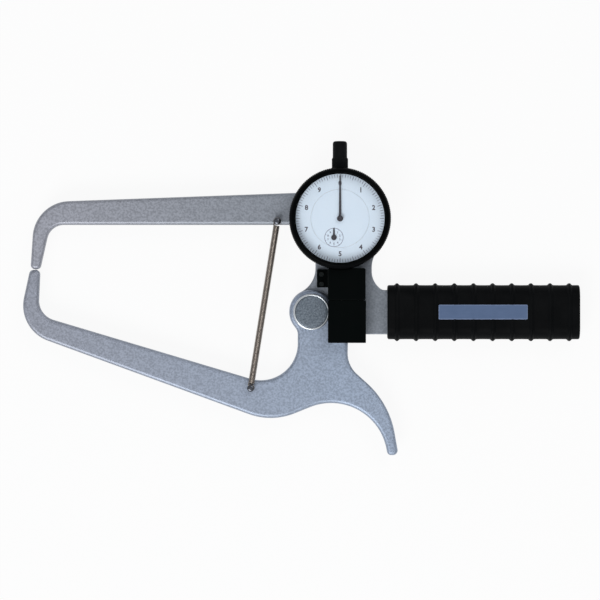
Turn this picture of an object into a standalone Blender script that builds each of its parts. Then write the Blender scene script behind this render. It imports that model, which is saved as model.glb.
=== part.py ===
"""Dial caliper gauge: a fixed and a moving arm, a plunger dial gauge, a return spring and a ribbed handle.

The tool lies on its back with the dial up (+Z), the jaws to the left (-X) and the handle to the right.
The origin is on the axis of the arms' pivot, in the plane of the frame's back face.
"""

import math
from types import SimpleNamespace

import bmesh
import bpy
from mathutils import Matrix, Vector

MM = 0.001

# Fits
FIT_GAP = 0.2 * MM
RUN_GAP = 0.4 * MM
OVERRUN = 2.0 * MM

# Plates of the two arms
ARM_THICKNESS = 6.0 * MM
WASHER_ROOM = 1.0 * MM
LAP_THICKNESS = (ARM_THICKNESS - WASHER_ROOM) / 2
EDGE_BEVEL = 0.4 * MM
ARM_EDGE_ROUND = 0.8 * MM
JAW_REACH_X = 151.6 * MM
JAW_HEIGHT = 23.35 * MM
JAW_TIP_PROUD = 0.2 * MM
JAW_TIP_RADIUS = 1.0 * MM
JAW_TIP_LENGTH = 4.0 * MM
JAW_TIP_DOME = 0.3 * MM
JAW_TIP_TOUCH_GAP = 0.1 * MM
BOSS_RADIUS = 12.2 * MM
SWING = math.radians(30)
JAW_RADIUS = math.hypot(JAW_REACH_X, JAW_HEIGHT)
JAW_OPENING_PER_LIFT = 10
LIFT_PER_RADIAN = JAW_RADIUS / JAW_OPENING_PER_LIFT

# Fixed arm and the plate behind the dial
FIXED_TIP_WIDTH = 5.3 * MM
FIXED_TIP_ROUND = 2.3 * MM
TIP_INSET = 2.4 * MM
TIP_RIGHT_X = -JAW_REACH_X + TIP_INSET
FIXED_INNER_STEP = 7.9 * MM
FIXED_INNER_CORNER_X = -JAW_REACH_X + FIXED_INNER_STEP
FIXED_INNER_FILLET = 9.3 * MM
FIXED_OUTER_STEP = 0.5 * MM
FIXED_OUTER_CORNER = (-JAW_REACH_X - FIXED_OUTER_STEP, 60.3 * MM)
FIXED_OUTER_ROUND = 20.6 * MM
FIXED_LOWER_EDGE_Y = 47.9 * MM
BACK_RIGHT_X = 38.0 * MM
BACK_TOP_Y = 67.2 * MM
BACK_TOP_ROUND = 18.0 * MM
BACK_LEFT_X = 2.2 * MM
BACK_LEFT_FILLET = 8.0 * MM
LEFT_SHOULDER_Y = 15.3 * MM
LEFT_SHOULDER_FILLET = 14.6 * MM
BOSS_SHOULDER_Y = 7.6 * MM
NECK_X = 33.2 * MM
NECK_TOP_Y = 29.7 * MM
NECK_FOOT_Y = 16.8 * MM
NECK_FILLET = 15.6 * MM
NECK_FOOT_FILLET = 12.0 * MM
NECK_SPREAD_Y = 35.9 * MM
NECK_SPREAD_ROUND = 3.0 * MM
TANG_HALF_WIDTH = 12.2 * MM
TANG_SHOULDER = 2.9 * MM
TANG_FILLET = 4.0 * MM
TANG_CENTRE_Y = -0.1 * MM
TANG_INNER_HALF_WIDTH = 8.0 * MM
TANG_END_ROUND = 3.0 * MM
TANG_LEDGE = 2.0 * MM
TANG_END_GAP = 5.0 * MM
LAP_EDGE_X = -11.0 * MM
LAP_EDGE_FOOT_Y = 30.0 * MM

# Moving arm with its trigger
MOVING_TIP_WIDTH = 5.6 * MM
MOVING_TIP_ROUND = 2.4 * MM
MOVING_OUTER_STEP = 10.3 * MM
MOVING_OUTER_CORNER = (-JAW_REACH_X - MOVING_OUTER_STEP, -9.6 * MM)
MOVING_OUTER_ROUND = 20.6 * MM
MOVING_INNER_STEP = 1.3 * MM
MOVING_INNER_CORNER = (-JAW_REACH_X + MOVING_INNER_STEP, -1.85 * MM)
MOVING_INNER_FILLET = 11.1 * MM
BELLY_CORNER = (-21.8 * MM, -60.8 * MM)
BELLY_ROUND = 35.1 * MM
ARCH_CORNER = (34.35 * MM, -38.2 * MM)
ARCH_FILLET = 31.0 * MM
TRIGGER_TIP_X = 41.9 * MM
TRIGGER_TIP_Y = -78.7 * MM
TRIGGER_TIP_WIDTH = 6.0 * MM
TRIGGER_TIP_INNER_ROUND = 2.2 * MM
TRIGGER_TIP_OUTER_ROUND = 2.6 * MM
TRIGGER_BACK_CORNER = (42.8 * MM, -50.1 * MM)
TRIGGER_BACK_ROUND = 48.2 * MM
TRIGGER_NOTCH_CORNER = (19.75 * MM, -29.4 * MM)
TRIGGER_NOTCH_FILLET = 15.6 * MM
CAM_LUG_CORNER = (20.3 * MM, -7.5 * MM)
CAM_LUG_ROUND = 3.0 * MM
CAM_LUG_ROOT_Y = -3.5 * MM
THROAT_RIGHT_X = -7.54 * MM
THROAT_FOOT_Y = -44.5 * MM
THROAT_ROUND = 20.3 * MM
THROAT_TOP_Y = -10.5 * MM
THROAT_TOP_FILLET = 6.0 * MM
BOSS_FOOT_Y = -3.86 * MM
RELIEF_CLEARANCE = 0.8 * MM
RELIEF_TOP_Y = 14.0 * MM

# Pivot
PIVOT_PIN_RADIUS = 4.0 * MM
PIVOT_FLANGE_RADIUS = 6.0 * MM
PIVOT_FLANGE_THICKNESS = 1.0 * MM
PIVOT_CAP_RADIUS = 10.0 * MM
PIVOT_CAP_HEIGHT = 3.4 * MM
PIVOT_CAP_CHAMFER = 0.6 * MM
PIVOT_CAP_WALL = 1.0 * MM
PIVOT_WASHER_RADIUS = 9.0 * MM

# Spring and its pins
SPRING_PIN_RISE = 1.9 * MM
UPPER_PIN = (-18.8 * MM, FIXED_LOWER_EDGE_Y + SPRING_PIN_RISE)
LOWER_PIN = (-33.4 * MM, -41.8 * MM)
SPRING_PIN_RADIUS = 1.3 * MM
SPRING_PIN_HEAD_RADIUS = 1.7 * MM
SPRING_PIN_HEAD_HEIGHT = 0.8 * MM
SPRING_PIN_HEIGHT = 4.6 * MM
SPRING_PIN_INSET = 0.3 * MM
SPRING_WIRE = 1.3 * MM
SPRING_COIL_DIAMETER = 3.7 * MM
SPRING_PITCH = 2.0 * MM
SPRING_NECK = 3.6 * MM
SPRING_SLACK = 0.9 * MM

# Rack and gears
RACK_PITCH = 0.625 * MM
RACK_PINION_TEETH = 16
GEAR_TEETH = 100
CENTRE_PINION_TEETH = 10
RACK_LINE_OFFSET = 1.75 * MM
TOOTH_TIP_SHARE = 0.45
TOOTH_ROOT_SHARE = 0.75
RACK_SPARE_TEETH = 2
MODULE = RACK_PITCH / math.pi
GEAR_CENTRES = MODULE * (GEAR_TEETH + CENTRE_PINION_TEETH) / 2
GEAR_RADIUS = MODULE * (GEAR_TEETH / 2 + TOOTH_TIP_SHARE)
PINION_OVERHANG = 0.1 * MM
TAKEUP_ANGLE = math.radians(40)

# Dial gauge
SPINDLE_OFFSET = 15.6 * MM
DIAL_CENTRE_Y = 51.2 * MM
CASE_WALL = 1.6 * MM
CASE_ROOM = 3.42 * MM
CASE_RADIUS = GEAR_CENTRES + GEAR_RADIUS + CASE_ROOM + CASE_WALL
CASE_STANDOFF = 0.5 * MM
CASE_BACK_Z = LAP_THICKNESS + CASE_STANDOFF
CASE_COVER_THICKNESS = 1.4 * MM
CASE_DEPTH = 14.0 * MM
CASE_FRONT_Z = CASE_BACK_Z + CASE_DEPTH
CASE_LIP_WIDTH = 4.2 * MM
CASE_LIP_THICKNESS = 0.9 * MM
CASE_SCREW_ANGLE = math.radians(45)
SPINDLE_ABOVE_CASE_BACK = 8.0 * MM
SPINDLE_Z = CASE_BACK_Z + SPINDLE_ABOVE_CASE_BACK
SPINDLE_RADIUS = 2.1 * MM
STEM_RADIUS = 4.0 * MM
STEM_FOOT_Y = 7.0 * MM
STEM_INSIDE = 1.4 * MM
UPPER_BUSH_RADIUS = 3.4 * MM

# Bezel and dial
BEZEL_SKIRT = 1.92 * MM
BEZEL_RADIUS = CASE_RADIUS + BEZEL_SKIRT
BEZEL_OVERLAP = 1.0 * MM
BEZEL_BACK_Z = CASE_FRONT_Z - BEZEL_OVERLAP
BEZEL_DEPTH = 8.0 * MM
BEZEL_FRONT_Z = BEZEL_BACK_Z + BEZEL_DEPTH
BEZEL_SHOULDER_DROP = 2.4 * MM
BEZEL_SHOULDER_INSET = 1.6 * MM
BEZEL_RIM = 3.65 * MM
BEZEL_OPENING_RADIUS = BEZEL_RADIUS - BEZEL_RIM
BEZEL_SEAT_WIDTH = 0.7 * MM
DIAL_LIFT = 0.6 * MM
DIAL_BACK_Z = CASE_FRONT_Z + DIAL_LIFT
DIAL_THICKNESS = 0.7 * MM
CRYSTAL_LIFT = 3.8 * MM
CRYSTAL_BACK_Z = DIAL_BACK_Z + CRYSTAL_LIFT
CRYSTAL_THICKNESS = 1.2 * MM
INNER_DIAL_RADIUS = 15.8 * MM
DIAL_FOOT_RADIUS = 0.8 * MM
DIAL_FOOT_OFFSET = 12.0 * MM

# Cap over the spindle
CAP_RADIUS = 3.95 * MM
CAP_KNURL_RADIUS = 4.45 * MM
CAP_STANDOFF = 0.3 * MM
CAP_FOOT_Y = DIAL_CENTRE_Y + BEZEL_RADIUS + CAP_STANDOFF
CAP_KNURL_LENGTH = 5.25 * MM
CAP_LENGTH = 14.3 * MM
CAP_TOP_ROUND = 1.4 * MM
CAP_CROWN = 2.4 * MM
CAP_STEP_CHAMFER = 0.5 * MM
UPPER_BUSH_IN_CAP = 4.5 * MM
UPPER_BUSH_TOP_Y = CAP_FOOT_Y + UPPER_BUSH_IN_CAP
SPINDLE_TOP_DROP = 6.8 * MM
SPINDLE_TOP_Y = UPPER_BUSH_TOP_Y - SPINDLE_TOP_DROP

# Movement
MOVEMENT_PLATE_THICKNESS = 0.8 * MM
MOVEMENT_BACK_Z = CASE_BACK_Z + CASE_COVER_THICKNESS + CASE_LIP_THICKNESS + 2 * FIT_GAP
MOVEMENT_FRONT_DROP = 1.8 * MM
MOVEMENT_FRONT_Z = CASE_FRONT_Z - MOVEMENT_FRONT_DROP
ARBOR_RADIUS = 0.5 * MM
ARBOR_HOLE_RADIUS = 0.75 * MM
GEAR_ABOVE_SPINDLE = 2.6 * MM
GEAR_BACK_Z = SPINDLE_Z + GEAR_ABOVE_SPINDLE
GEAR_THICKNESS = 0.6 * MM
RACK_PINION_WIDTH = 1.6 * MM
PILLAR_RADIUS = 1.5 * MM
PILLAR_INSET = 4.4 * MM
PILLAR_OFFSET = CASE_RADIUS - CASE_WALL - PILLAR_INSET
PILLAR_ANGLES = [math.radians(a) for a in (-5, 110, 195, 285)]
GUIDE_PIN_RADIUS = 0.6 * MM
GUIDE_PIN_ABOVE_CENTRE = 2.0 * MM
RETURN_SPRING_OFFSET = 4.6 * MM
RETURN_SPRING_RADIUS = 1.1 * MM
RETURN_SPRING_BORE = 0.6 * MM
RETURN_SPRING_LENGTH = 18.0 * MM
RETURN_POST_RADIUS = 0.7 * MM
HAIRSPRING_RADIUS = 3.2 * MM
HAIRSPRING_THICKNESS = 0.6 * MM

# Pointer and counter hand
POINTER_LIFT = 1.6 * MM
POINTER_BACK_Z = DIAL_BACK_Z + POINTER_LIFT
POINTER_THICKNESS = 0.3 * MM
POINTER_TIP_GAP = 0.9 * MM
POINTER_LENGTH = BEZEL_OPENING_RADIUS - POINTER_TIP_GAP
POINTER_HUB_RADIUS = 1.7 * MM
POINTER_HUB_HEIGHT = 1.1 * MM
POINTER_ROOT_WIDTH = 0.9 * MM
POINTER_TIP_WIDTH = 0.35 * MM
COUNTER_LIFT = 0.9 * MM
COUNTER_BACK_Z = DIAL_BACK_Z + COUNTER_LIFT
COUNTER_THICKNESS = 0.25 * MM
COUNTER_LENGTH = 4.0 * MM
COUNTER_HUB_RADIUS = 1.1 * MM
COUNTER_ROOT_WIDTH = 0.8 * MM
COUNTER_TIP_WIDTH = 0.3 * MM

# Clamp and cover
CLAMP_LEFT_REACH = 6.57 * MM
CLAMP_LEFT_X = SPINDLE_OFFSET - CLAMP_LEFT_REACH
CLAMP_RIGHT_REACH = 13.98 * MM
CLAMP_RIGHT_X = SPINDLE_OFFSET + CLAMP_RIGHT_REACH
CLAMP_CASE_GAP = 1.15 * MM
CLAMP_TOP_Y = DIAL_CENTRE_Y - CASE_RADIUS - CLAMP_CASE_GAP
CLAMP_BELOW_STEM = 0.5 * MM
CLAMP_FOOT_Y = STEM_FOOT_Y - CLAMP_BELOW_STEM
CLAMP_SEAT_Y = 13.4 * MM
CLAMP_FRONT_REACH = 7.0 * MM
CLAMP_FRONT_Z = SPINDLE_Z + CLAMP_FRONT_REACH
CLAMP_ROUND = 0.8 * MM
FLANGE_WIDTH = 6.05 * MM
FLANGE_LEFT_X = CLAMP_LEFT_X - FLANGE_WIDTH
FLANGE_ABOVE_SEAT = 0.1 * MM
FLANGE_FOOT_Y = CLAMP_SEAT_Y + FLANGE_ABOVE_SEAT
FLANGE_LENGTH = 9.9 * MM
FLANGE_TOP_Y = FLANGE_FOOT_Y + FLANGE_LENGTH
FLANGE_THICKNESS = 2.4 * MM
FLANGE_SCREW_INSET = 2.6 * MM
FLANGE_SCREW_X = FLANGE_LEFT_X + FLANGE_SCREW_INSET
FLANGE_SCREW_RISE = 1.9 * MM
FLANGE_SCREW_SPACING = 5.3 * MM
FLANGE_SCREWS_Y = [FLANGE_FOOT_Y + FLANGE_SCREW_RISE + k * FLANGE_SCREW_SPACING for k in (1, 0)]
FLANGE_SCREW_LENGTH = 4.4 * MM
COVER_STEP = 0.2 * MM
COVER_RIGHT_X = CLAMP_RIGHT_X + COVER_STEP
COVER_LENGTH = 23.2 * MM
COVER_FOOT_Y = CLAMP_FOOT_Y - FIT_GAP - COVER_LENGTH
COVER_WALL = 1.5 * MM
COVER_LIP = 3.8 * MM
TONGUE_LENGTH = 5.5 * MM
TONGUE_FOOT_Y = CLAMP_FOOT_Y - TONGUE_LENGTH
TONGUE_INSET = 5.58 * MM
TONGUE_LEFT_X = SPINDLE_OFFSET + TONGUE_INSET
TONGUE_BACK_REACH = 2.4 * MM
TONGUE_FRONT_REACH = 4.8 * MM
COVER_SCREW_DROP = 0.6 * MM
COVER_SCREW_SPACING = 3.6 * MM
COVER_SCREWS_Z = [SPINDLE_Z - COVER_SCREW_DROP + k * COVER_SCREW_SPACING for k in (0, 1)]

# Contact point and cam
CONTACT_BALL_RADIUS = 1.5 * MM
CONTACT_REST_Y = -11.0 * MM
CONTACT_LENGTH = 6.6 * MM
CAM_GAP = 0.1 * MM
CAM_OVERTRAVEL = math.radians(5)
CAM_LEAD = math.radians(14)
CAM_DEPTH = 6.0 * MM
CAM_FOOT_Y = CONTACT_REST_Y - CAM_DEPTH
CAM_FRONT_REACH = 1.9 * MM
CAM_FRONT_Z = SPINDLE_Z + CAM_FRONT_REACH
CAM_SCREW_INSET = 2.22 * MM
CAM_SCREW_SPACING = 3.8 * MM
CAM_SCREWS_X = [SPINDLE_OFFSET - CAM_SCREW_INSET + k * CAM_SCREW_SPACING for k in (0, 1)]
CAM_SCREW_DROP = 4.0 * MM
CAM_SCREW_Y = CONTACT_REST_Y - CAM_SCREW_DROP
CAM_STEPS = 12
CAM_SCREW_LENGTH = 8.6 * MM

# Screws
SCREW_HEAD_RADIUS = 1.4 * MM
SCREW_HEAD_HEIGHT = 0.9 * MM
SCREW_SHAFT_RADIUS = 0.7 * MM
SCREW_SLOT_WIDTH = 0.4 * MM
SCREW_SLOT_DEPTH = 0.4 * MM
SCREW_LENGTH = 2.2 * MM
SCREW_TIP_GAP = 0.3 * MM

CASE_SCREW_HEAD_RADIUS = 1.3 * MM
CASE_SCREW_HEAD_HEIGHT = 0.7 * MM
CASE_SCREW_LENGTH = 1.6 * MM

# Handle
HANDLE_START_X = 41.75 * MM
HANDLE_LENGTH = 105.75 * MM
HANDLE_HEIGHT = 29.8 * MM
HANDLE_DEPTH = 17.6 * MM
HANDLE_ROUND = 6.6 * MM
HANDLE_END_CHAMFER = 0.8 * MM
HANDLE_SPLIT_GAP = 0.2 * MM
RIB_PITCH = 10.53 * MM
RIB_FIRST = 5.3 * MM
RIB_FOOT_WIDTH = 3.4 * MM
RIB_TOP_WIDTH = 1.3 * MM
RIB_HEIGHT = 0.8 * MM
NAMEPLATE_INSET = 28.0 * MM
NAMEPLATE_LENGTH = 48.9 * MM
NAMEPLATE_HEIGHT = 8.1 * MM
NAMEPLATE_THICKNESS = 1.0 * MM
NAMEPLATE_PROUD = 0.3 * MM
NAMEPLATE_ROUND = 0.6 * MM
HANDLE_SCREW_HEAD_RADIUS = 2.1 * MM
HANDLE_SCREW_HEAD_HEIGHT = 1.4 * MM
HANDLE_SCREW_SHAFT_RADIUS = 1.3 * MM
HANDLE_SCREW_SINK = 1.2 * MM
HANDLE_SCREW_GRIP = 4.0 * MM

# Facets
ROUND_STEPS = 20
SMALL_STEPS = 10
PIN_STEPS = 8
LARGE_STEPS = 40
ARC_FACET_DEPTH = 0.12 * MM
SHORTEST_EDGE = 0.01 * MM
CURL_POINTS = 8
LOOP_POINTS = 24


def clear_scene():
    for thing in list(bpy.data.objects):
        bpy.data.objects.remove(thing, do_unlink=True)


def make_material(name, colour, roughness, metallic):
    material = bpy.data.materials.new(name)
    material.use_nodes = True
    shader = material.node_tree.nodes["Principled BSDF"]
    shader.inputs["Base Color"].default_value = (*colour, 1)
    shader.inputs["Roughness"].default_value = roughness
    shader.inputs["Metallic"].default_value = metallic
    return material


def make_materials():
    return SimpleNamespace(
        fixed_arm=make_material("fixed_arm", (0.30, 0.32, 0.35), 0.5, 0.8),
        moving_arm=make_material("moving_arm", (0.42, 0.46, 0.52), 0.5, 0.8),
        steel=make_material("steel", (0.60, 0.60, 0.60), 0.25, 1.0),
        cap=make_material("cap", (0.30, 0.33, 0.35), 0.35, 1.0),
        black_paint=make_material("black_paint", (0.012, 0.013, 0.013), 0.4, 0.0),
        black_plastic=make_material("black_plastic", (0.015, 0.016, 0.018), 0.5, 0.0),
        plate=make_material("plate", (0.14, 0.20, 0.30), 0.4, 0.6),
        dial=make_material("dial", (0.75, 0.80, 0.85), 0.6, 0.0),
        crystal=make_material("crystal", (0.95, 0.97, 1.0), 0.05, 0.0),
        hand=make_material("hand", (0.02, 0.015, 0.015), 0.4, 0.0),
        brass=make_material("brass", (0.60, 0.45, 0.20), 0.35, 1.0),
    )


# Mesh helpers


def rounded_outline(corners):
    """Points of a polygon whose corners, given as (x, y, radius), are rounded by arcs."""
    points = []
    for i, (x, y, radius) in enumerate(corners):
        corner = Vector((x, y))
        back = (Vector(corners[i - 1][:2]) - corner).normalized()
        ahead = (Vector(corners[(i + 1) % len(corners)][:2]) - corner).normalized()
        if radius == 0:
            points.append(corner)
            continue
        half = back.angle(ahead) / 2
        centre = corner + (back + ahead).normalized() * (radius / math.sin(half))
        arm = corner + back * (radius / math.tan(half)) - centre
        side = 1 if back.x * ahead.y - back.y * ahead.x < 0 else -1
        turn = side * (math.pi - 2 * half)
        facet = 2 * math.acos(max(0, 1 - ARC_FACET_DEPTH / radius))
        steps = math.ceil(abs(turn) / facet)
        for k in range(steps + 1):
            points.append(centre + Matrix.Rotation(turn * k / steps, 2) @ arm)
    return [p for p, q in zip(points, points[1:] + points[:1]) if (p - q).length > SHORTEST_EDGE]


def box_outline(left, foot, right, top, radius=0.0):
    return rounded_outline(
        [(left, foot, radius), (right, foot, radius), (right, top, radius), (left, top, radius)]
    )


def circle_outline(radius, steps, centre=(0.0, 0.0)):
    angles = [2 * math.pi * (k + 0.5) / steps for k in range(steps)]
    return [(centre[0] + radius * math.cos(a), centre[1] + radius * math.sin(a)) for a in angles]


def add_object(name, bm, material, location=(0, 0, 0), rotation=(0, 0, 0)):
    bmesh.ops.recalc_face_normals(bm, faces=bm.faces)
    if bm.calc_volume(signed=True) < 0:
        bmesh.ops.reverse_faces(bm, faces=bm.faces)
    mesh = bpy.data.meshes.new(name)
    bm.to_mesh(mesh)
    bm.free()
    mesh.shade_smooth()
    mesh.set_sharp_from_angle(angle=math.radians(30))
    thing = bpy.data.objects.new(name, mesh)
    thing.location = location
    thing.rotation_euler = rotation
    bpy.context.scene.collection.objects.link(thing)
    if material is not None:
        mesh.materials.append(material)
    return thing


def plate(name, outline, back, front, material, location=(0, 0, 0), rotation=(0, 0, 0)):
    """The outline in the XY plane, extruded along Z from back to front."""
    bm = bmesh.new()
    lower = [bm.verts.new((x, y, back)) for x, y in outline]
    upper = [bm.verts.new((x, y, front)) for x, y in outline]
    bm.faces.new(lower)
    bm.faces.new(upper)
    for i in range(len(outline)):
        bm.faces.new((lower[i - 1], lower[i], upper[i], upper[i - 1]))
    return add_object(name, bm, material, location, rotation)


def turned(name, profile, steps, material, location=(0, 0, 0), rotation=(0, 0, 0)):
    """A body turned about Z from (radius, height) points: solid if they start and end at radius 0."""
    bm = bmesh.new()
    rings = []
    for radius, height in profile:
        around = circle_outline(radius, steps if radius else 1)
        rings.append([bm.verts.new((x, y, height)) for x, y in around])
    pairs = list(zip(rings, rings[1:]))
    if len(rings[0]) > 1:
        pairs.append((rings[-1], rings[0]))
    for one, other in pairs:
        for i in range(steps):
            j = (i + 1) % steps
            corners = [one[i % len(one)], one[j % len(one)], other[j % len(other)], other[i % len(other)]]
            bm.faces.new(list(dict.fromkeys(corners)))
    return add_object(name, bm, material, location, rotation)


def rod_profile(radius, start, end):
    return [(0, start), (radius, start), (radius, end), (0, end)]


def tube_profile(bore, radius, start, end):
    return [(bore, start), (radius, start), (radius, end), (bore, end)]


def hide_helper(thing):
    thing.hide_render = True
    thing.display_type = "WIRE"


def combine(target, other, operation):
    modifier = target.modifiers.new(other.name, "BOOLEAN")
    modifier.object = other
    modifier.operation = operation
    modifier.solver = "EXACT"
    hide_helper(other)


def cut(target, cutter):
    combine(target, cutter, "DIFFERENCE")


def join(target, piece):
    combine(target, piece, "UNION")


def drill(target, centre, radius, back, front, steps=SMALL_STEPS):
    """A round hole along Z, overrun at an end that is open."""
    cut(target, plate(f"{target.name}_hole", circle_outline(radius, steps, centre), back, front, None))


def bevel_edges(thing, width):
    modifier = thing.modifiers.new("edges", "BEVEL")
    modifier.width = width
    modifier.segments = 1
    modifier.limit_method = "ANGLE"
    modifier.angle_limit = math.radians(50)


ALONG_Y = (math.radians(-90), 0, 0)
ALONG_X = (0, math.radians(90), 0)
FACING_BACK = (math.radians(180), 0, 0)


def slotted_screw(name, material, location, rotation=(0, 0, 0), head_radius=SCREW_HEAD_RADIUS,
                  head_height=SCREW_HEAD_HEIGHT, shaft_radius=SCREW_SHAFT_RADIUS, length=SCREW_LENGTH):
    """A screw whose head stands up from the local XY plane and whose shaft goes down from it."""
    profile = [(0, -length), (shaft_radius, -length), (shaft_radius, 0), (head_radius, 0),
               (head_radius, head_height), (0, head_height)]
    screw = turned(name, profile, SMALL_STEPS, material, location, rotation)
    reach, half = head_radius + OVERRUN, SCREW_SLOT_WIDTH / 2
    slot = plate(
        f"{name}_slot",
        box_outline(-reach, -half, reach, half),
        head_height - SCREW_SLOT_DEPTH,
        head_height + OVERRUN,
        None,
        location,
        rotation,
    )
    cut(screw, slot)
    return screw


def screw_hole(target, location, rotation=(0, 0, 0), head_radius=SCREW_HEAD_RADIUS, head_depth=0.0,
               shaft_radius=SCREW_SHAFT_RADIUS, length=SCREW_LENGTH):
    """The hole for a screw at the same place, with its counterbore if the head is sunk."""
    bore = shaft_radius + FIT_GAP
    foot = -length - SCREW_TIP_GAP
    if head_depth:
        mouth = head_radius + FIT_GAP
        profile = [(0, foot), (bore, foot), (bore, -FIT_GAP), (mouth, -FIT_GAP),
                   (mouth, head_depth + OVERRUN), (0, head_depth + OVERRUN)]
    else:
        profile = rod_profile(bore, foot, OVERRUN)
    cut(target, turned(f"{target.name}_screw_hole", profile, SMALL_STEPS, None, location, rotation))


# Arms and pivot


def frame_outline():
    """Fixed arm, plate behind the dial, pivot boss and tang in one outline."""
    tip_y = JAW_HEIGHT + JAW_TIP_PROUD
    tang_foot = TANG_CENTRE_Y - TANG_HALF_WIDTH
    tang_top = TANG_CENTRE_Y + TANG_HALF_WIDTH
    inner_foot = TANG_CENTRE_Y - TANG_INNER_HALF_WIDTH
    inner_top = TANG_CENTRE_Y + TANG_INNER_HALF_WIDTH
    inner_start = HANDLE_START_X + TANG_LEDGE
    inner_end = HANDLE_START_X + HANDLE_LENGTH - TANG_END_GAP
    return rounded_outline([
        (TIP_RIGHT_X, tip_y, FIXED_TIP_ROUND),
        (FIXED_INNER_CORNER_X, FIXED_LOWER_EDGE_Y, FIXED_INNER_FILLET),
        (BACK_LEFT_X, FIXED_LOWER_EDGE_Y, BACK_LEFT_FILLET),
        (BACK_LEFT_X, LEFT_SHOULDER_Y, LEFT_SHOULDER_FILLET),
        (-BOSS_RADIUS, BOSS_SHOULDER_Y, BOSS_RADIUS),
        (-BOSS_RADIUS, tang_foot, BOSS_RADIUS),
        (inner_start, tang_foot, 0),
        (inner_start, inner_foot, 0),
        (inner_end, inner_foot, TANG_END_ROUND),
        (inner_end, inner_top, TANG_END_ROUND),
        (inner_start, inner_top, 0),
        (inner_start, tang_top, 0),
        (HANDLE_START_X - TANG_SHOULDER, tang_top, TANG_FILLET),
        (NECK_X, NECK_FOOT_Y, NECK_FOOT_FILLET),
        (NECK_X, NECK_TOP_Y, NECK_FILLET),
        (BACK_RIGHT_X, NECK_SPREAD_Y, NECK_SPREAD_ROUND),
        (BACK_RIGHT_X, BACK_TOP_Y, BACK_TOP_ROUND),
        (*FIXED_OUTER_CORNER, FIXED_OUTER_ROUND),
        (TIP_RIGHT_X - FIXED_TIP_WIDTH, tip_y, FIXED_TIP_ROUND),
    ])


def moving_outline():
    """Moving arm, pivot boss, cam lug and finger trigger in one outline."""
    tip_y = JAW_HEIGHT - JAW_TIP_PROUD
    return rounded_outline([
        (TIP_RIGHT_X, tip_y, MOVING_TIP_ROUND),
        (TIP_RIGHT_X - MOVING_TIP_WIDTH, tip_y, MOVING_TIP_ROUND),
        (*MOVING_OUTER_CORNER, MOVING_OUTER_ROUND),
        (*BELLY_CORNER, BELLY_ROUND),
        (*ARCH_CORNER, ARCH_FILLET),
        (TRIGGER_TIP_X, TRIGGER_TIP_Y, TRIGGER_TIP_INNER_ROUND),
        (TRIGGER_TIP_X + TRIGGER_TIP_WIDTH, TRIGGER_TIP_Y, TRIGGER_TIP_OUTER_ROUND),
        (*TRIGGER_BACK_CORNER, TRIGGER_BACK_ROUND),
        (*TRIGGER_NOTCH_CORNER, TRIGGER_NOTCH_FILLET),
        (*CAM_LUG_CORNER, CAM_LUG_ROUND),
        (BOSS_RADIUS, CAM_LUG_ROOT_Y, CAM_LUG_ROUND),
        (BOSS_RADIUS, BOSS_RADIUS, BOSS_RADIUS),
        (-BOSS_RADIUS, BOSS_RADIUS, BOSS_RADIUS),
        (-BOSS_RADIUS, BOSS_FOOT_Y, BOSS_RADIUS),
        (THROAT_RIGHT_X, THROAT_TOP_Y, THROAT_TOP_FILLET),
        (THROAT_RIGHT_X, THROAT_FOOT_Y, THROAT_ROUND),
        (*MOVING_INNER_CORNER, MOVING_INNER_FILLET),
    ])


def lap_relief_outline():
    """What the moving arm's back gives up to clear the frame's boss and tang over the whole swing."""
    radius = BOSS_RADIUS + RELIEF_CLEARANCE
    corner_y = -radius * math.tan(SWING)
    reach_y = -radius / math.cos(SWING) - HANDLE_START_X * math.tan(SWING)
    return rounded_outline([
        (-radius, RELIEF_TOP_Y, 0),
        (-radius, corner_y, radius),
        (HANDLE_START_X, reach_y, 0),
        (HANDLE_START_X, RELIEF_TOP_Y, 0),
    ])


def jaw_tip_hole(arm, location, rotation):
    bore = rod_profile(JAW_TIP_RADIUS + FIT_GAP, -OVERRUN, JAW_TIP_LENGTH)
    cut(arm, turned(f"{arm.name}_tip_hole", bore, SMALL_STEPS, None, location, rotation))


def jaw_tip(name, materials, direction):
    """A hard pin in the end of a jaw; its domed end meets the other jaw's pin."""
    start_y = JAW_HEIGHT + direction * JAW_TIP_TOUCH_GAP
    profile = [(0, 0), (JAW_TIP_RADIUS / 2, JAW_TIP_DOME / 4), (JAW_TIP_RADIUS, JAW_TIP_DOME),
               (JAW_TIP_RADIUS, JAW_TIP_LENGTH), (0, JAW_TIP_LENGTH)]
    rotation = ALONG_Y if direction > 0 else (-ALONG_Y[0], 0, 0)
    return turned(name, profile, SMALL_STEPS, materials.steel,
                  (-JAW_REACH_X, start_y, ARM_THICKNESS / 2), rotation)


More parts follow.
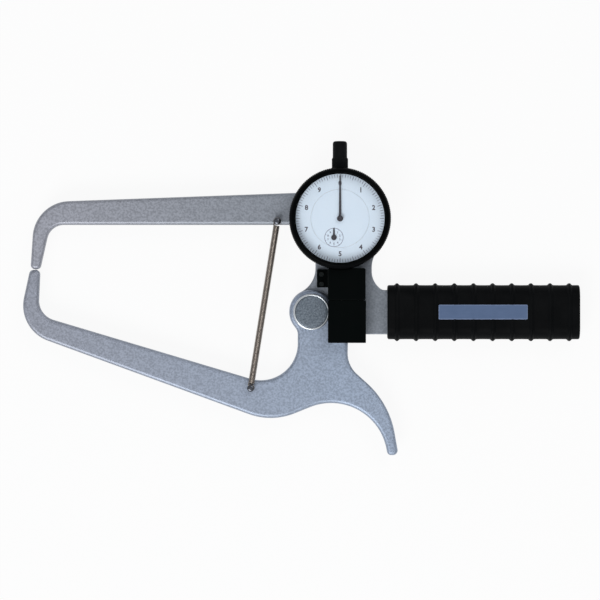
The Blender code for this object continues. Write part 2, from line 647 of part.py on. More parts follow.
def frame_plate(materials):
    frame = plate("frame_plate", frame_outline(), 0, ARM_THICKNESS, materials.fixed_arm)
    bevel_edges(frame, ARM_EDGE_ROUND)
    right = HANDLE_START_X + HANDLE_LENGTH + OVERRUN
    lap = rounded_outline([
        (LAP_EDGE_X, BACK_TOP_Y + OVERRUN, 0),
        (LAP_EDGE_X, LAP_EDGE_FOOT_Y, 0),
        (-BOSS_RADIUS - OVERRUN, LAP_EDGE_FOOT_Y, 0),
        (-BOSS_RADIUS - OVERRUN, TANG_CENTRE_Y - TANG_HALF_WIDTH - OVERRUN, 0),
        (right, TANG_CENTRE_Y - TANG_HALF_WIDTH - OVERRUN, 0),
        (right, BACK_TOP_Y + OVERRUN, 0),
    ])
    cut(frame, plate("frame_lap", lap, LAP_THICKNESS, ARM_THICKNESS + OVERRUN, None))
    seat = [(0, -OVERRUN), (PIVOT_FLANGE_RADIUS + FIT_GAP, -OVERRUN),
            (PIVOT_FLANGE_RADIUS + FIT_GAP, PIVOT_FLANGE_THICKNESS + FIT_GAP),
            (PIVOT_PIN_RADIUS + FIT_GAP, PIVOT_FLANGE_THICKNESS + FIT_GAP),
            (PIVOT_PIN_RADIUS + FIT_GAP, LAP_THICKNESS + OVERRUN), (0, LAP_THICKNESS + OVERRUN)]
    cut(frame, turned("frame_pivot_hole", seat, ROUND_STEPS, None))
    spring_hole = SPRING_PIN_RADIUS + FIT_GAP
    drill(frame, UPPER_PIN, spring_hole, SPRING_PIN_INSET, ARM_THICKNESS + OVERRUN)
    for y in FLANGE_SCREWS_Y:
        drill(frame, (FLANGE_SCREW_X, y), SCREW_SHAFT_RADIUS + FIT_GAP, -OVERRUN, LAP_THICKNESS + OVERRUN)
    for x in handle_screws_x():
        bore = HANDLE_SCREW_SHAFT_RADIUS + FIT_GAP
        drill(frame, (x, TANG_CENTRE_Y), bore, -OVERRUN, LAP_THICKNESS + OVERRUN)
    hole_at = (-JAW_REACH_X, JAW_HEIGHT + JAW_TIP_PROUD, ARM_THICKNESS / 2)
    jaw_tip_hole(frame, hole_at, ALONG_Y)
    return frame


def moving_arm(materials):
    arm = plate("moving_arm", moving_outline(), 0, ARM_THICKNESS, materials.moving_arm)
    bevel_edges(arm, ARM_EDGE_ROUND)
    lap_back = ARM_THICKNESS - LAP_THICKNESS
    cut(arm, plate("moving_lap", lap_relief_outline(), -OVERRUN, lap_back, None))
    drill(arm, (0, 0), PIVOT_PIN_RADIUS + FIT_GAP, lap_back - OVERRUN, ARM_THICKNESS + OVERRUN, ROUND_STEPS)
    spring_hole = SPRING_PIN_RADIUS + FIT_GAP
    drill(arm, LOWER_PIN, spring_hole, SPRING_PIN_INSET, ARM_THICKNESS + OVERRUN)
    for x in CAM_SCREWS_X:
        bore = SCREW_SHAFT_RADIUS + FIT_GAP
        drill(arm, (x, CAM_SCREW_Y), bore, lap_back - OVERRUN, ARM_THICKNESS + OVERRUN)
    hole_at = (-JAW_REACH_X, JAW_HEIGHT - JAW_TIP_PROUD, ARM_THICKNESS / 2)
    jaw_tip_hole(arm, hole_at, (-ALONG_Y[0], 0, 0))
    return arm


def pivot_pin(materials):
    top = ARM_THICKNESS + PIVOT_CAP_HEIGHT - PIVOT_CAP_WALL
    profile = [(0, 0), (PIVOT_FLANGE_RADIUS, 0), (PIVOT_FLANGE_RADIUS, PIVOT_FLANGE_THICKNESS),
               (PIVOT_PIN_RADIUS, PIVOT_FLANGE_THICKNESS), (PIVOT_PIN_RADIUS, top), (0, top)]
    return turned("pivot_pin", profile, ROUND_STEPS, materials.steel)


def pivot_cap(materials):
    """The turned cap over the pin; it leaves a running gap to the moving arm's face."""
    back = ARM_THICKNESS + FIT_GAP
    front = back + PIVOT_CAP_HEIGHT
    bore = PIVOT_PIN_RADIUS + FIT_GAP
    roof = ARM_THICKNESS + PIVOT_CAP_HEIGHT - PIVOT_CAP_WALL + FIT_GAP
    profile = [(0, roof), (bore, roof), (bore, back), (PIVOT_CAP_RADIUS, back),
               (PIVOT_CAP_RADIUS, front - PIVOT_CAP_CHAMFER),
               (PIVOT_CAP_RADIUS - PIVOT_CAP_CHAMFER, front), (0, front)]
    return turned("pivot_cap", profile, LARGE_STEPS, materials.cap)


def pivot_washer(materials):
    back = LAP_THICKNESS + FIT_GAP
    front = ARM_THICKNESS - LAP_THICKNESS - FIT_GAP
    profile = tube_profile(PIVOT_PIN_RADIUS + FIT_GAP, PIVOT_WASHER_RADIUS, back, front)
    return turned("pivot_washer", profile, ROUND_STEPS, materials.brass)


def spring_pin(name, materials, centre):
    """A pin with a small head that keeps the spring's hook on it."""
    head_back = ARM_THICKNESS + SPRING_PIN_HEIGHT
    head_front = head_back + SPRING_PIN_HEAD_HEIGHT
    foot = SPRING_PIN_INSET + FIT_GAP
    profile = [(0, foot), (SPRING_PIN_RADIUS, foot), (SPRING_PIN_RADIUS, head_back),
               (SPRING_PIN_HEAD_RADIUS, head_back), (SPRING_PIN_HEAD_RADIUS, head_front), (0, head_front)]
    return turned(name, profile, SMALL_STEPS, materials.steel, (*centre, 0))


# Return spring


def spring_frame():
    """Length from pin to pin and the spring's own axes: along, across in the plane, and up."""
    upper = Vector((*UPPER_PIN, ARM_THICKNESS + SPRING_PIN_HEIGHT / 2))
    lower = Vector((*LOWER_PIN, ARM_THICKNESS + SPRING_PIN_HEIGHT / 2))
    along = (lower - upper).normalized()
    return SimpleNamespace(
        upper=upper,
        lower=lower,
        along=along,
        across=Vector((-along.y, along.x, 0)),
        up=Vector((0, 0, 1)),
        length=(lower - upper).length,
    )


def hook_points(reach):
    """An open loop round a pin at the origin, then a neck to the coil's first turn at the given reach."""
    radius = SPRING_PIN_RADIUS + SPRING_WIRE / 2 + FIT_GAP
    coil = (SPRING_COIL_DIAMETER - SPRING_WIRE) / 2
    start, end = math.radians(55), math.radians(305)
    loop = []
    for k in range(LOOP_POINTS):
        angle = start + (end - start) * k / (LOOP_POINTS - 1)
        loop.append((radius * math.cos(angle), radius * math.sin(angle), 0))
    return loop + [(reach, -coil, 0)]


def coil_points(start, turns):
    """Helix points along the first axis, beginning and ending at the same side of the coil."""
    coil = (SPRING_COIL_DIAMETER - SPRING_WIRE) / 2
    points = []
    for k in range(1, turns * CURL_POINTS + 1):
        angle = 2 * math.pi * k / CURL_POINTS
        x = start + SPRING_PITCH * k / CURL_POINTS
        points.append((x, -coil * math.cos(angle), coil * math.sin(angle)))
    return points


def least_gap(points):
    """The least gap between one stretch of the wire and another more than half a curl further on."""
    apart = CURL_POINTS // 2 + 1
    nearest = math.inf
    for i, point in enumerate(points):
        for other in points[i + apart:]:
            nearest = min(nearest, (point - other).length)
    return nearest - SPRING_WIRE


def wire(name, points, material):
    curve = bpy.data.curves.new(name, "CURVE")
    curve.dimensions = "3D"
    curve.bevel_depth = SPRING_WIRE / 2
    curve.bevel_resolution = 1
    curve.use_fill_caps = True
    spline = curve.splines.new("POLY")
    spline.points.add(len(points) - 1)
    for target, point in zip(spline.points, points):
        target.co = (*point, 1)
    curve.materials.append(material)
    thing = bpy.data.objects.new(name, curve)
    bpy.context.scene.collection.objects.link(thing)
    return thing


def tension_spring(materials):
    """The upper hook and the whole coil as one wire, on an empty at the upper pin."""
    axes = spring_frame()
    coil_end = axes.length - SPRING_SLACK - SPRING_NECK - SPRING_WIRE
    turns = int((coil_end - SPRING_NECK) / SPRING_PITCH)
    local = hook_points(SPRING_NECK)
    local += coil_points(SPRING_NECK, turns)
    local.append((local[-1][0] + SPRING_WIRE, local[-1][1], 0))
    points = [axes.along * x + axes.across * y + axes.up * z for x, y, z in local]
    print(f"tension_spring least gap to itself: {least_gap(points) / MM:.2f} mm")
    spring = wire("tension_spring", points, materials.steel)
    spring.location = axes.upper
    return spring


def spring_lower_hook(materials):
    """The lower hook; its eye has slack along the spring for the rocking pin."""
    axes = spring_frame()
    turns = int((axes.length - SPRING_SLACK - 2 * SPRING_NECK - SPRING_WIRE) / SPRING_PITCH)
    coil_end = SPRING_NECK + SPRING_PITCH * turns + SPRING_WIRE
    reach = axes.length - coil_end - FIT_GAP
    loop = hook_points(reach)
    local = [(x - SPRING_SLACK if x < 0 else x, y, z) for x, y, z in loop]
    points = [-axes.along * x + axes.across * y + axes.up * z for x, y, z in local]
    hook = wire("spring_lower_hook", points, materials.steel)
    hook.location = axes.lower
    return hook


# Dial gauge


def gauge_location(z=0.0):
    return (SPINDLE_OFFSET, DIAL_CENTRE_Y, z)


def along_spindle(y=0.0):
    return (SPINDLE_OFFSET, y, SPINDLE_Z)


def case_screw_centres():
    radius = CASE_RADIUS - CASE_LIP_WIDTH / 2
    angles = [CASE_SCREW_ANGLE + math.pi / 2 * k for k in range(4)]
    return [(radius * math.cos(a), radius * math.sin(a)) for a in angles]


def dial_case(materials):
    """A ring with an inner lip at the back; stem and upper bush pass through its wall."""
    back = CASE_BACK_Z + CASE_COVER_THICKNESS + FIT_GAP
    lip = CASE_RADIUS - CASE_LIP_WIDTH
    inner = CASE_RADIUS - CASE_WALL
    profile = [(lip, back), (CASE_RADIUS, back), (CASE_RADIUS, CASE_FRONT_Z), (inner, CASE_FRONT_Z),
               (inner, back + CASE_LIP_THICKNESS), (lip, back + CASE_LIP_THICKNESS)]
    case = turned("dial_case", profile, LARGE_STEPS, materials.black_paint, gauge_location())
    stem = rod_profile(STEM_RADIUS + FIT_GAP, STEM_FOOT_Y, DIAL_CENTRE_Y)
    cut(case, turned("case_stem_hole", stem, ROUND_STEPS, None, along_spindle(), ALONG_Y))
    bush = rod_profile(UPPER_BUSH_RADIUS + FIT_GAP, DIAL_CENTRE_Y, UPPER_BUSH_TOP_Y)
    cut(case, turned("case_bush_hole", bush, ROUND_STEPS, None, along_spindle(), ALONG_Y))
    for x, y in case_screw_centres():
        centre = (SPINDLE_OFFSET + x, DIAL_CENTRE_Y + y)
        bore = SCREW_SHAFT_RADIUS + FIT_GAP
        drill(case, centre, bore, back - OVERRUN, back + CASE_LIP_THICKNESS + OVERRUN, PIN_STEPS)
    return case


def case_back_cover(materials):
    front = CASE_BACK_Z + CASE_COVER_THICKNESS
    profile = [(0, CASE_BACK_Z), (CASE_RADIUS - EDGE_BEVEL, CASE_BACK_Z),
               (CASE_RADIUS, CASE_BACK_Z + EDGE_BEVEL), (CASE_RADIUS, front), (0, front)]
    cover = turned("case_back_cover", profile, LARGE_STEPS, materials.black_paint, gauge_location())
    for x, y in case_screw_centres():
        place = (SPINDLE_OFFSET + x, DIAL_CENTRE_Y + y, CASE_BACK_Z + CASE_SCREW_HEAD_HEIGHT)
        screw_hole(cover, place, FACING_BACK, CASE_SCREW_HEAD_RADIUS, CASE_SCREW_HEAD_HEIGHT)
    return cover


def case_screws(materials):
    for k, (x, y) in enumerate(case_screw_centres()):
        place = (SPINDLE_OFFSET + x, DIAL_CENTRE_Y + y, CASE_BACK_Z + CASE_SCREW_HEAD_HEIGHT)
        slotted_screw(f"case_screw_{k + 1}", materials.steel, place, FACING_BACK, CASE_SCREW_HEAD_RADIUS,
                      CASE_SCREW_HEAD_HEIGHT, SCREW_SHAFT_RADIUS, CASE_SCREW_LENGTH)


def gauge_stem(materials):
    """The stem: a tube that runs from inside the case down into the clamp."""
    inside = DIAL_CENTRE_Y - CASE_RADIUS + CASE_WALL + STEM_INSIDE
    profile = tube_profile(SPINDLE_RADIUS + FIT_GAP, STEM_RADIUS, STEM_FOOT_Y, inside)
    return turned("gauge_stem", profile, ROUND_STEPS, materials.steel, along_spindle(), ALONG_Y)


def upper_bush(materials):
    inside = DIAL_CENTRE_Y + CASE_RADIUS - CASE_WALL - STEM_INSIDE
    profile = tube_profile(SPINDLE_RADIUS + FIT_GAP, UPPER_BUSH_RADIUS, inside, UPPER_BUSH_TOP_Y)
    return turned("upper_bush", profile, ROUND_STEPS, materials.steel, along_spindle(), ALONG_Y)


def stem_cap(materials):
    """The black cap over the spindle's upper end, wider and knurled at its foot."""
    bore = UPPER_BUSH_RADIUS + FIT_GAP
    narrow = SPINDLE_RADIUS + RUN_GAP
    top = CAP_FOOT_Y + CAP_LENGTH
    step = CAP_FOOT_Y + CAP_KNURL_LENGTH
    profile = [
        (0, top - CAP_CROWN), (narrow, top - CAP_CROWN), (narrow, UPPER_BUSH_TOP_Y + RUN_GAP),
        (bore, UPPER_BUSH_TOP_Y + RUN_GAP), (bore, CAP_FOOT_Y), (CAP_KNURL_RADIUS, CAP_FOOT_Y),
        (CAP_KNURL_RADIUS, step - CAP_STEP_CHAMFER), (CAP_RADIUS, step), (CAP_RADIUS, top - CAP_TOP_ROUND),
    ]
    for share in (1 / 3, 2 / 3, 1):
        angle = share * math.pi / 2
        profile.append((CAP_RADIUS - CAP_TOP_ROUND * (1 - math.cos(angle)),
                        top - CAP_TOP_ROUND * (1 - math.sin(angle))))
    profile.append((0, top))
    return turned("stem_cap", profile, ROUND_STEPS, materials.black_paint, along_spindle(), ALONG_Y)


def bezel_ring(materials):
    """The turning rim: a front lip over the crystal, a seat for the scale ring and a skirt over the case."""
    wall = BEZEL_OPENING_RADIUS + EDGE_BEVEL
    seat = BEZEL_OPENING_RADIUS + BEZEL_SEAT_WIDTH
    crystal_front = CRYSTAL_BACK_Z + CRYSTAL_THICKNESS + FIT_GAP
    dial_front = DIAL_BACK_Z + DIAL_THICKNESS + FIT_GAP
    skirt = CASE_RADIUS + FIT_GAP
    skirt_roof = CASE_FRONT_Z + FIT_GAP
    profile = [
        (skirt, BEZEL_BACK_Z), (BEZEL_RADIUS, BEZEL_BACK_Z),
        (BEZEL_RADIUS, BEZEL_FRONT_Z - BEZEL_SHOULDER_DROP),
        (BEZEL_RADIUS - BEZEL_SHOULDER_INSET, BEZEL_FRONT_Z), (wall, BEZEL_FRONT_Z),
        (BEZEL_OPENING_RADIUS, crystal_front),
        (seat, crystal_front), (seat, CRYSTAL_BACK_Z - FIT_GAP), (wall, CRYSTAL_BACK_Z - FIT_GAP),
        (wall, dial_front), (seat, dial_front), (seat, skirt_roof), (skirt, skirt_roof),
    ]
    return turned("bezel_ring", profile, LARGE_STEPS, materials.black_paint, gauge_location())


def crystal(materials):
    radius = BEZEL_OPENING_RADIUS + BEZEL_SEAT_WIDTH - FIT_GAP
    profile = rod_profile(radius, CRYSTAL_BACK_Z, CRYSTAL_BACK_Z + CRYSTAL_THICKNESS)
    return turned("crystal", profile, LARGE_STEPS, materials.crystal, gauge_location())


def dial_scale_ring(materials):
    outer = BEZEL_OPENING_RADIUS + BEZEL_SEAT_WIDTH - FIT_GAP
    inner = INNER_DIAL_RADIUS + FIT_GAP
    profile = tube_profile(inner, outer, DIAL_BACK_Z, DIAL_BACK_Z + DIAL_THICKNESS)
    return turned("dial_scale_ring", profile, LARGE_STEPS, materials.dial, gauge_location())


# Movement


def gear_outline(teeth, tooth_angle):
    """Pointed teeth whose roots are deeper than their tips are high, one tooth at the given angle."""
    pitch_radius = MODULE * teeth / 2
    tip = pitch_radius + TOOTH_TIP_SHARE * MODULE
    root = pitch_radius - TOOTH_ROOT_SHARE * MODULE
    half = math.pi / teeth
    points = []
    for k in range(teeth):
        angle = tooth_angle + 2 * half * k
        points.append((tip * math.cos(angle), tip * math.sin(angle)))
        points.append((root * math.cos(angle + half), root * math.sin(angle + half)))
    return points


def counter_offset():
    """The counter arbor seen from the dial's centre: beside the rack, one gear mesh away."""
    across = -(RACK_LINE_OFFSET + MODULE * RACK_PINION_TEETH / 2)
    return Vector((across, -math.sqrt(GEAR_CENTRES**2 - across**2)))


def takeup_offset():
    return Vector((math.cos(TAKEUP_ANGLE), math.sin(TAKEUP_ANGLE))) * GEAR_CENTRES


def counter_mesh_angle():
    """Direction from the counter arbor to the dial's centre."""
    offset = -counter_offset()
    return math.atan2(offset.y, offset.x)


def pinion_tooth_angle():
    """The centre pinion has a gap where the counter gear has a tooth."""
    return counter_mesh_angle() + math.pi + math.pi / CENTRE_PINION_TEETH


def takeup_tooth_angle():
    """The take-up gear has a gap where the centre pinion's nearest tooth comes."""
    ahead = (pinion_tooth_angle() - TAKEUP_ANGLE) % (2 * math.pi / CENTRE_PINION_TEETH)
    shared = ahead * CENTRE_PINION_TEETH / GEAR_TEETH
    return TAKEUP_ANGLE + math.pi - shared + math.pi / GEAR_TEETH


def at_offset(offset, z=0.0):
    return (SPINDLE_OFFSET + offset.x, DIAL_CENTRE_Y + offset.y, z)


def bored_gear(name, tooth_angle, offset, material):
    front = GEAR_BACK_Z + GEAR_THICKNESS
    location = at_offset(offset)
    gear = plate(name, gear_outline(GEAR_TEETH, tooth_angle), GEAR_BACK_Z, front, material, location)
    bore = circle_outline(ARBOR_RADIUS + FIT_GAP, SMALL_STEPS)
    cut(gear, plate(f"{name}_bore", bore, GEAR_BACK_Z - OVERRUN, front + OVERRUN, None, location))
    return gear


def rack_pinion(materials):
    """The counter arbor with the pinion that the rack turns."""
    location = at_offset(counter_offset())
    foot = MOVEMENT_BACK_Z + FIT_GAP
    profile = rod_profile(ARBOR_RADIUS, foot, COUNTER_BACK_Z + COUNTER_THICKNESS + FIT_GAP)
    arbor = turned("rack_pinion", profile, SMALL_STEPS, materials.brass, location)
    back, front = SPINDLE_Z - RACK_PINION_WIDTH / 2, SPINDLE_Z + RACK_PINION_WIDTH / 2
    teeth = plate("rack_pinion_teeth", gear_outline(RACK_PINION_TEETH, 0), back, front, None, location)
    join(arbor, teeth)
    return arbor


def counter_gear(materials):
    return bored_gear("counter_gear", counter_mesh_angle(), counter_offset(), materials.brass)


def centre_pinion(materials):
    """The pointer's arbor with its ten-tooth pinion."""
    location = gauge_location()
    back = GEAR_BACK_Z - PINION_OVERHANG
    front = GEAR_BACK_Z + GEAR_THICKNESS + PINION_OVERHANG
    outline = gear_outline(CENTRE_PINION_TEETH, pinion_tooth_angle())
    pinion = plate("centre_pinion", outline, back, front, materials.brass, location)
    profile = rod_profile(ARBOR_RADIUS, (back + front) / 2, POINTER_BACK_Z + POINTER_HUB_HEIGHT / 2)
    join(pinion, turned("centre_arbor", profile, SMALL_STEPS, None, location))
    return pinion


def takeup_gear(materials):
    """The gear that keeps the train in mesh on one side, with its own arbor."""
    location = at_offset(takeup_offset())
    outline = gear_outline(GEAR_TEETH, takeup_tooth_angle())
    gear = plate("takeup_gear", outline, GEAR_BACK_Z, GEAR_BACK_Z + GEAR_THICKNESS, materials.brass, location)
    front = MOVEMENT_FRONT_Z + MOVEMENT_PLATE_THICKNESS
    profile = rod_profile(ARBOR_RADIUS, MOVEMENT_BACK_Z + FIT_GAP, front)
    join(gear, turned("takeup_arbor", profile, SMALL_STEPS, None, location))
    return gear


def hairspring(materials):
    """The wound spring of the take-up gear, as a flat ring round its arbor."""
    back = MOVEMENT_BACK_Z + MOVEMENT_PLATE_THICKNESS + FIT_GAP
    profile = tube_profile(ARBOR_HOLE_RADIUS, HAIRSPRING_RADIUS, back, back + HAIRSPRING_THICKNESS)
    return turned("hairspring", profile, SMALL_STEPS, materials.steel, at_offset(takeup_offset()))


def arbor_holes(target, offsets, back, front):
    for offset in offsets:
        x, y, _ = at_offset(offset)
        drill(target, (x, y), ARBOR_HOLE_RADIUS, back - OVERRUN, front + OVERRUN, PIN_STEPS)


def return_post_places():
    x = SPINDLE_OFFSET + RETURN_SPRING_OFFSET
    reach = RETURN_SPRING_LENGTH / 2 + FIT_GAP + RETURN_POST_RADIUS
    return [(x, DIAL_CENTRE_Y - reach), (x, DIAL_CENTRE_Y + reach)]


def movement_back_plate(materials):
    """Seats on the case's lip; slotted for the guide pin, with two posts for the spindle's spring."""
    back, front = MOVEMENT_BACK_Z, MOVEMENT_BACK_Z + MOVEMENT_PLATE_THICKNESS
    radius = CASE_RADIUS - CASE_WALL - FIT_GAP
    base = turned("movement_back_plate", rod_profile(radius, back, front), ROUND_STEPS,
                  materials.brass, gauge_location())
    arbor_holes(base, (counter_offset(), takeup_offset()), back, front)
    half = GUIDE_PIN_RADIUS + FIT_GAP
    low = DIAL_CENTRE_Y + GUIDE_PIN_ABOVE_CENTRE - half - RUN_GAP
    high = DIAL_CENTRE_Y + GUIDE_PIN_ABOVE_CENTRE + LIFT_PER_RADIAN * SWING + half + RUN_GAP
    slot = box_outline(SPINDLE_OFFSET - half, low, SPINDLE_OFFSET + half, high)
    cut(base, plate("guide_slot", slot, back - OVERRUN, front + OVERRUN, None))
    for k, (x, y) in enumerate(return_post_places()):
        profile = rod_profile(RETURN_POST_RADIUS, (back + front) / 2, SPINDLE_Z)
        join(base, turned(f"return_post_{k}", profile, PIN_STEPS, None, (x, y, 0)))
    return base


def movement_front_plate(materials):
    """Carries the arbors' front ends on four pillars that stand on the back plate."""
    front = MOVEMENT_FRONT_Z + MOVEMENT_PLATE_THICKNESS
    radius = PILLAR_OFFSET + PILLAR_RADIUS + RUN_GAP
    top = turned("movement_front_plate", rod_profile(radius, MOVEMENT_FRONT_Z, front), ROUND_STEPS,
                 materials.brass, gauge_location())
    foot = MOVEMENT_BACK_Z + MOVEMENT_PLATE_THICKNESS + FIT_GAP
    for k, angle in enumerate(PILLAR_ANGLES):
        offset = Vector((math.cos(angle), math.sin(angle))) * PILLAR_OFFSET
        profile = rod_profile(PILLAR_RADIUS, foot, MOVEMENT_FRONT_Z + MOVEMENT_PLATE_THICKNESS / 2)
        join(top, turned(f"pillar_{k}", profile, PIN_STEPS, None, at_offset(offset)))
    arbor_holes(top, (Vector((0, 0)), counter_offset(), takeup_offset()), MOVEMENT_FRONT_Z, front)
    return top


def inner_dial(materials):
    """The fixed middle of the dial, on two feet that stand on the movement."""
    front = DIAL_BACK_Z + DIAL_THICKNESS
    dial = turned("inner_dial", rod_profile(INNER_DIAL_RADIUS, DIAL_BACK_Z, front), LARGE_STEPS,
                  materials.dial, gauge_location())
    foot = MOVEMENT_FRONT_Z + MOVEMENT_PLATE_THICKNESS + FIT_GAP
    for k, side in enumerate((-1, 1)):
        profile = rod_profile(DIAL_FOOT_RADIUS, foot, DIAL_BACK_Z + DIAL_THICKNESS / 2)
        place = at_offset(Vector((side * DIAL_FOOT_OFFSET, 0)))
        join(dial, turned(f"dial_foot_{k}", profile, PIN_STEPS, None, place))
    arbor_holes(dial, (Vector((0, 0)), counter_offset()), DIAL_BACK_Z, front)
    return dial


def spindle_return_spring(materials):
    profile = tube_profile(RETURN_SPRING_BORE, RETURN_SPRING_RADIUS, -RETURN_SPRING_LENGTH / 2,
                           RETURN_SPRING_LENGTH / 2)
    place = (SPINDLE_OFFSET + RETURN_SPRING_OFFSET, DIAL_CENTRE_Y, SPINDLE_Z - RETURN_SPRING_RADIUS)
    return turned("spindle_return_spring", profile, SMALL_STEPS, materials.steel, place, ALONG_Y)


def hand_outline(length, tail, root_width, tip_width):
    root, tip = root_width / 2, tip_width / 2
    return [(-root, -tail), (root, -tail), (tip, length), (-tip, length)]


def hand(name, material, location, back, thickness, outline, hub_radius, hub_height):
    """A tapered hand that lies along +Y, with a bored hub on its arbor."""
    blade = plate(name, outline, back, back + thickness, material, location)
    join(blade, turned(f"{name}_hub", rod_profile(hub_radius, back, back + hub_height), SMALL_STEPS,
                       None, location))
    bore = circle_outline(ARBOR_RADIUS + FIT_GAP, SMALL_STEPS)
    roof = back + hub_height - FIT_GAP
    cut(blade, plate(f"{name}_bore", bore, back - OVERRUN, roof, None, location))
    return blade


def pointer(materials):
    outline = hand_outline(POINTER_LENGTH, POINTER_HUB_RADIUS / 2, POINTER_ROOT_WIDTH, POINTER_TIP_WIDTH)
    return hand("pointer", materials.hand, gauge_location(), POINTER_BACK_Z, POINTER_THICKNESS, outline,
                POINTER_HUB_RADIUS, POINTER_HUB_HEIGHT)


def counter_hand(materials):
    """The short hand; its hub stays below the pointer's sweep."""
    outline = hand_outline(COUNTER_LENGTH, COUNTER_HUB_RADIUS, COUNTER_ROOT_WIDTH, COUNTER_TIP_WIDTH)
    blade = plate("counter_hand", outline, COUNTER_BACK_Z, COUNTER_BACK_Z + COUNTER_THICKNESS,
                  materials.hand, at_offset(counter_offset()))
    hub = rod_profile(COUNTER_HUB_RADIUS, COUNTER_BACK_Z, COUNTER_BACK_Z + COUNTER_THICKNESS)
    join(blade, turned("counter_hub", hub, SMALL_STEPS, None, at_offset(counter_offset())))
    x, y, _ = at_offset(counter_offset())
    drill(blade, (x, y), ARBOR_RADIUS + FIT_GAP, COUNTER_BACK_Z - OVERRUN, COUNTER_BACK_Z + OVERRUN)
    return blade


# Spindle


def spindle(materials):
    """The plunger; its rack faces the pinion and its foot takes the contact point."""
    foot = CONTACT_REST_Y + CONTACT_LENGTH + FIT_GAP
    rod = turned("spindle", rod_profile(SPINDLE_RADIUS, foot, SPINDLE_TOP_Y), SMALL_STEPS,
                 materials.steel, along_spindle(), ALONG_Y)
    mesh_y = DIAL_CENTRE_Y + counter_offset().y
    travel = LIFT_PER_RADIAN * SWING
    below = math.ceil(travel / RACK_PITCH) + RACK_SPARE_TEETH
    tip_x = SPINDLE_OFFSET - RACK_LINE_OFFSET - TOOTH_TIP_SHARE * MODULE
    root_x = SPINDLE_OFFSET - RACK_LINE_OFFSET + TOOTH_ROOT_SHARE * MODULE
    outside = SPINDLE_OFFSET - SPINDLE_RADIUS - OVERRUN
    outline = [(outside, mesh_y - (below + 0.5) * RACK_PITCH)]
    for k in range(-below, RACK_SPARE_TEETH + 1):
        outline.append((tip_x, mesh_y + (k - 0.5) * RACK_PITCH))
        outline.append((root_x, mesh_y + k * RACK_PITCH))
    outline.append((tip_x, mesh_y + (RACK_SPARE_TEETH + 0.5) * RACK_PITCH))
    outline.append((outside, mesh_y + (RACK_SPARE_TEETH + 0.5) * RACK_PITCH))
    back, front = SPINDLE_Z - SPINDLE_RADIUS - OVERRUN, SPINDLE_Z + SPINDLE_RADIUS + OVERRUN
    cut(rod, plate("rack_comb", outline, back, front, None))
    pin_at = (SPINDLE_OFFSET, DIAL_CENTRE_Y + GUIDE_PIN_ABOVE_CENTRE)
    drill(rod, pin_at, GUIDE_PIN_RADIUS + FIT_GAP, back, SPINDLE_Z + FIT_GAP)
    return rod


def guide_pin(materials):
    """Keeps the spindle from turning: it runs in the slot of the back plate."""
    profile = rod_profile(GUIDE_PIN_RADIUS, MOVEMENT_BACK_Z, SPINDLE_Z)
    place = (SPINDLE_OFFSET, DIAL_CENTRE_Y + GUIDE_PIN_ABOVE_CENTRE, 0)
    return turned("guide_pin", profile, PIN_STEPS, materials.steel, place)


def contact_point(materials):
    """A ball-ended point under the spindle that rests on the cam."""
    profile = []
    for share in (0, 1 / 3, 2 / 3, 1):
        angle = share * math.pi / 2
        profile.append((CONTACT_BALL_RADIUS * math.sin(angle),
                        CONTACT_REST_Y - CONTACT_BALL_RADIUS * math.cos(angle)))
    shoulder = CONTACT_REST_Y + CONTACT_LENGTH / 2
    top = CONTACT_REST_Y + CONTACT_LENGTH
    profile += [(CONTACT_BALL_RADIUS, shoulder),
                (SPINDLE_RADIUS, shoulder + SPINDLE_RADIUS - CONTACT_BALL_RADIUS),
                (SPINDLE_RADIUS, top), (0, top)]
    return turned("contact_point", profile, SMALL_STEPS, materials.steel, along_spindle(), ALONG_Y)


# Cam, clamp and cover


def cam_surface(angle):
    """The point of the cam under the contact ball at this swing, in the moving arm's rest position."""
    lever = CONTACT_REST_Y + LIFT_PER_RADIAN * angle
    turn = Matrix.Rotation(-angle, 2)
    ball = turn @ Vector((SPINDLE_OFFSET, lever))
    run = turn @ Vector((lever, LIFT_PER_RADIAN - SPINDLE_OFFSET))
    outward = Vector((-run.y, run.x)).normalized()
    return ball + outward * (CONTACT_BALL_RADIUS + CAM_GAP)


def actuating_cam(materials):
    """A block on the moving arm whose curved top lifts the spindle in proportion to the swing."""
    angles = [SWING + CAM_OVERTRAVEL - (SWING + CAM_OVERTRAVEL + CAM_LEAD) * k / CAM_STEPS
              for k in range(CAM_STEPS + 1)]
    top = [cam_surface(angle) for angle in angles]
    outline = [(top[0].x, CAM_FOOT_Y), *top, (top[-1].x, CAM_FOOT_Y)]
    cam = plate("actuating_cam", outline, ARM_THICKNESS + FIT_GAP, CAM_FRONT_Z, materials.steel)
    for x in CAM_SCREWS_X:
        screw_hole(cam, (x, CAM_SCREW_Y, CAM_FRONT_Z - SCREW_HEAD_HEIGHT), (0, 0, 0), SCREW_HEAD_RADIUS,
                   SCREW_HEAD_HEIGHT, SCREW_SHAFT_RADIUS, CAM_SCREW_LENGTH)
    return cam


def cam_screws(materials):
    for k, x in enumerate(CAM_SCREWS_X):
        place = (x, CAM_SCREW_Y, CAM_FRONT_Z - SCREW_HEAD_HEIGHT)
        slotted_screw(f"cam_screw_{k + 1}", materials.steel, place, length=CAM_SCREW_LENGTH)


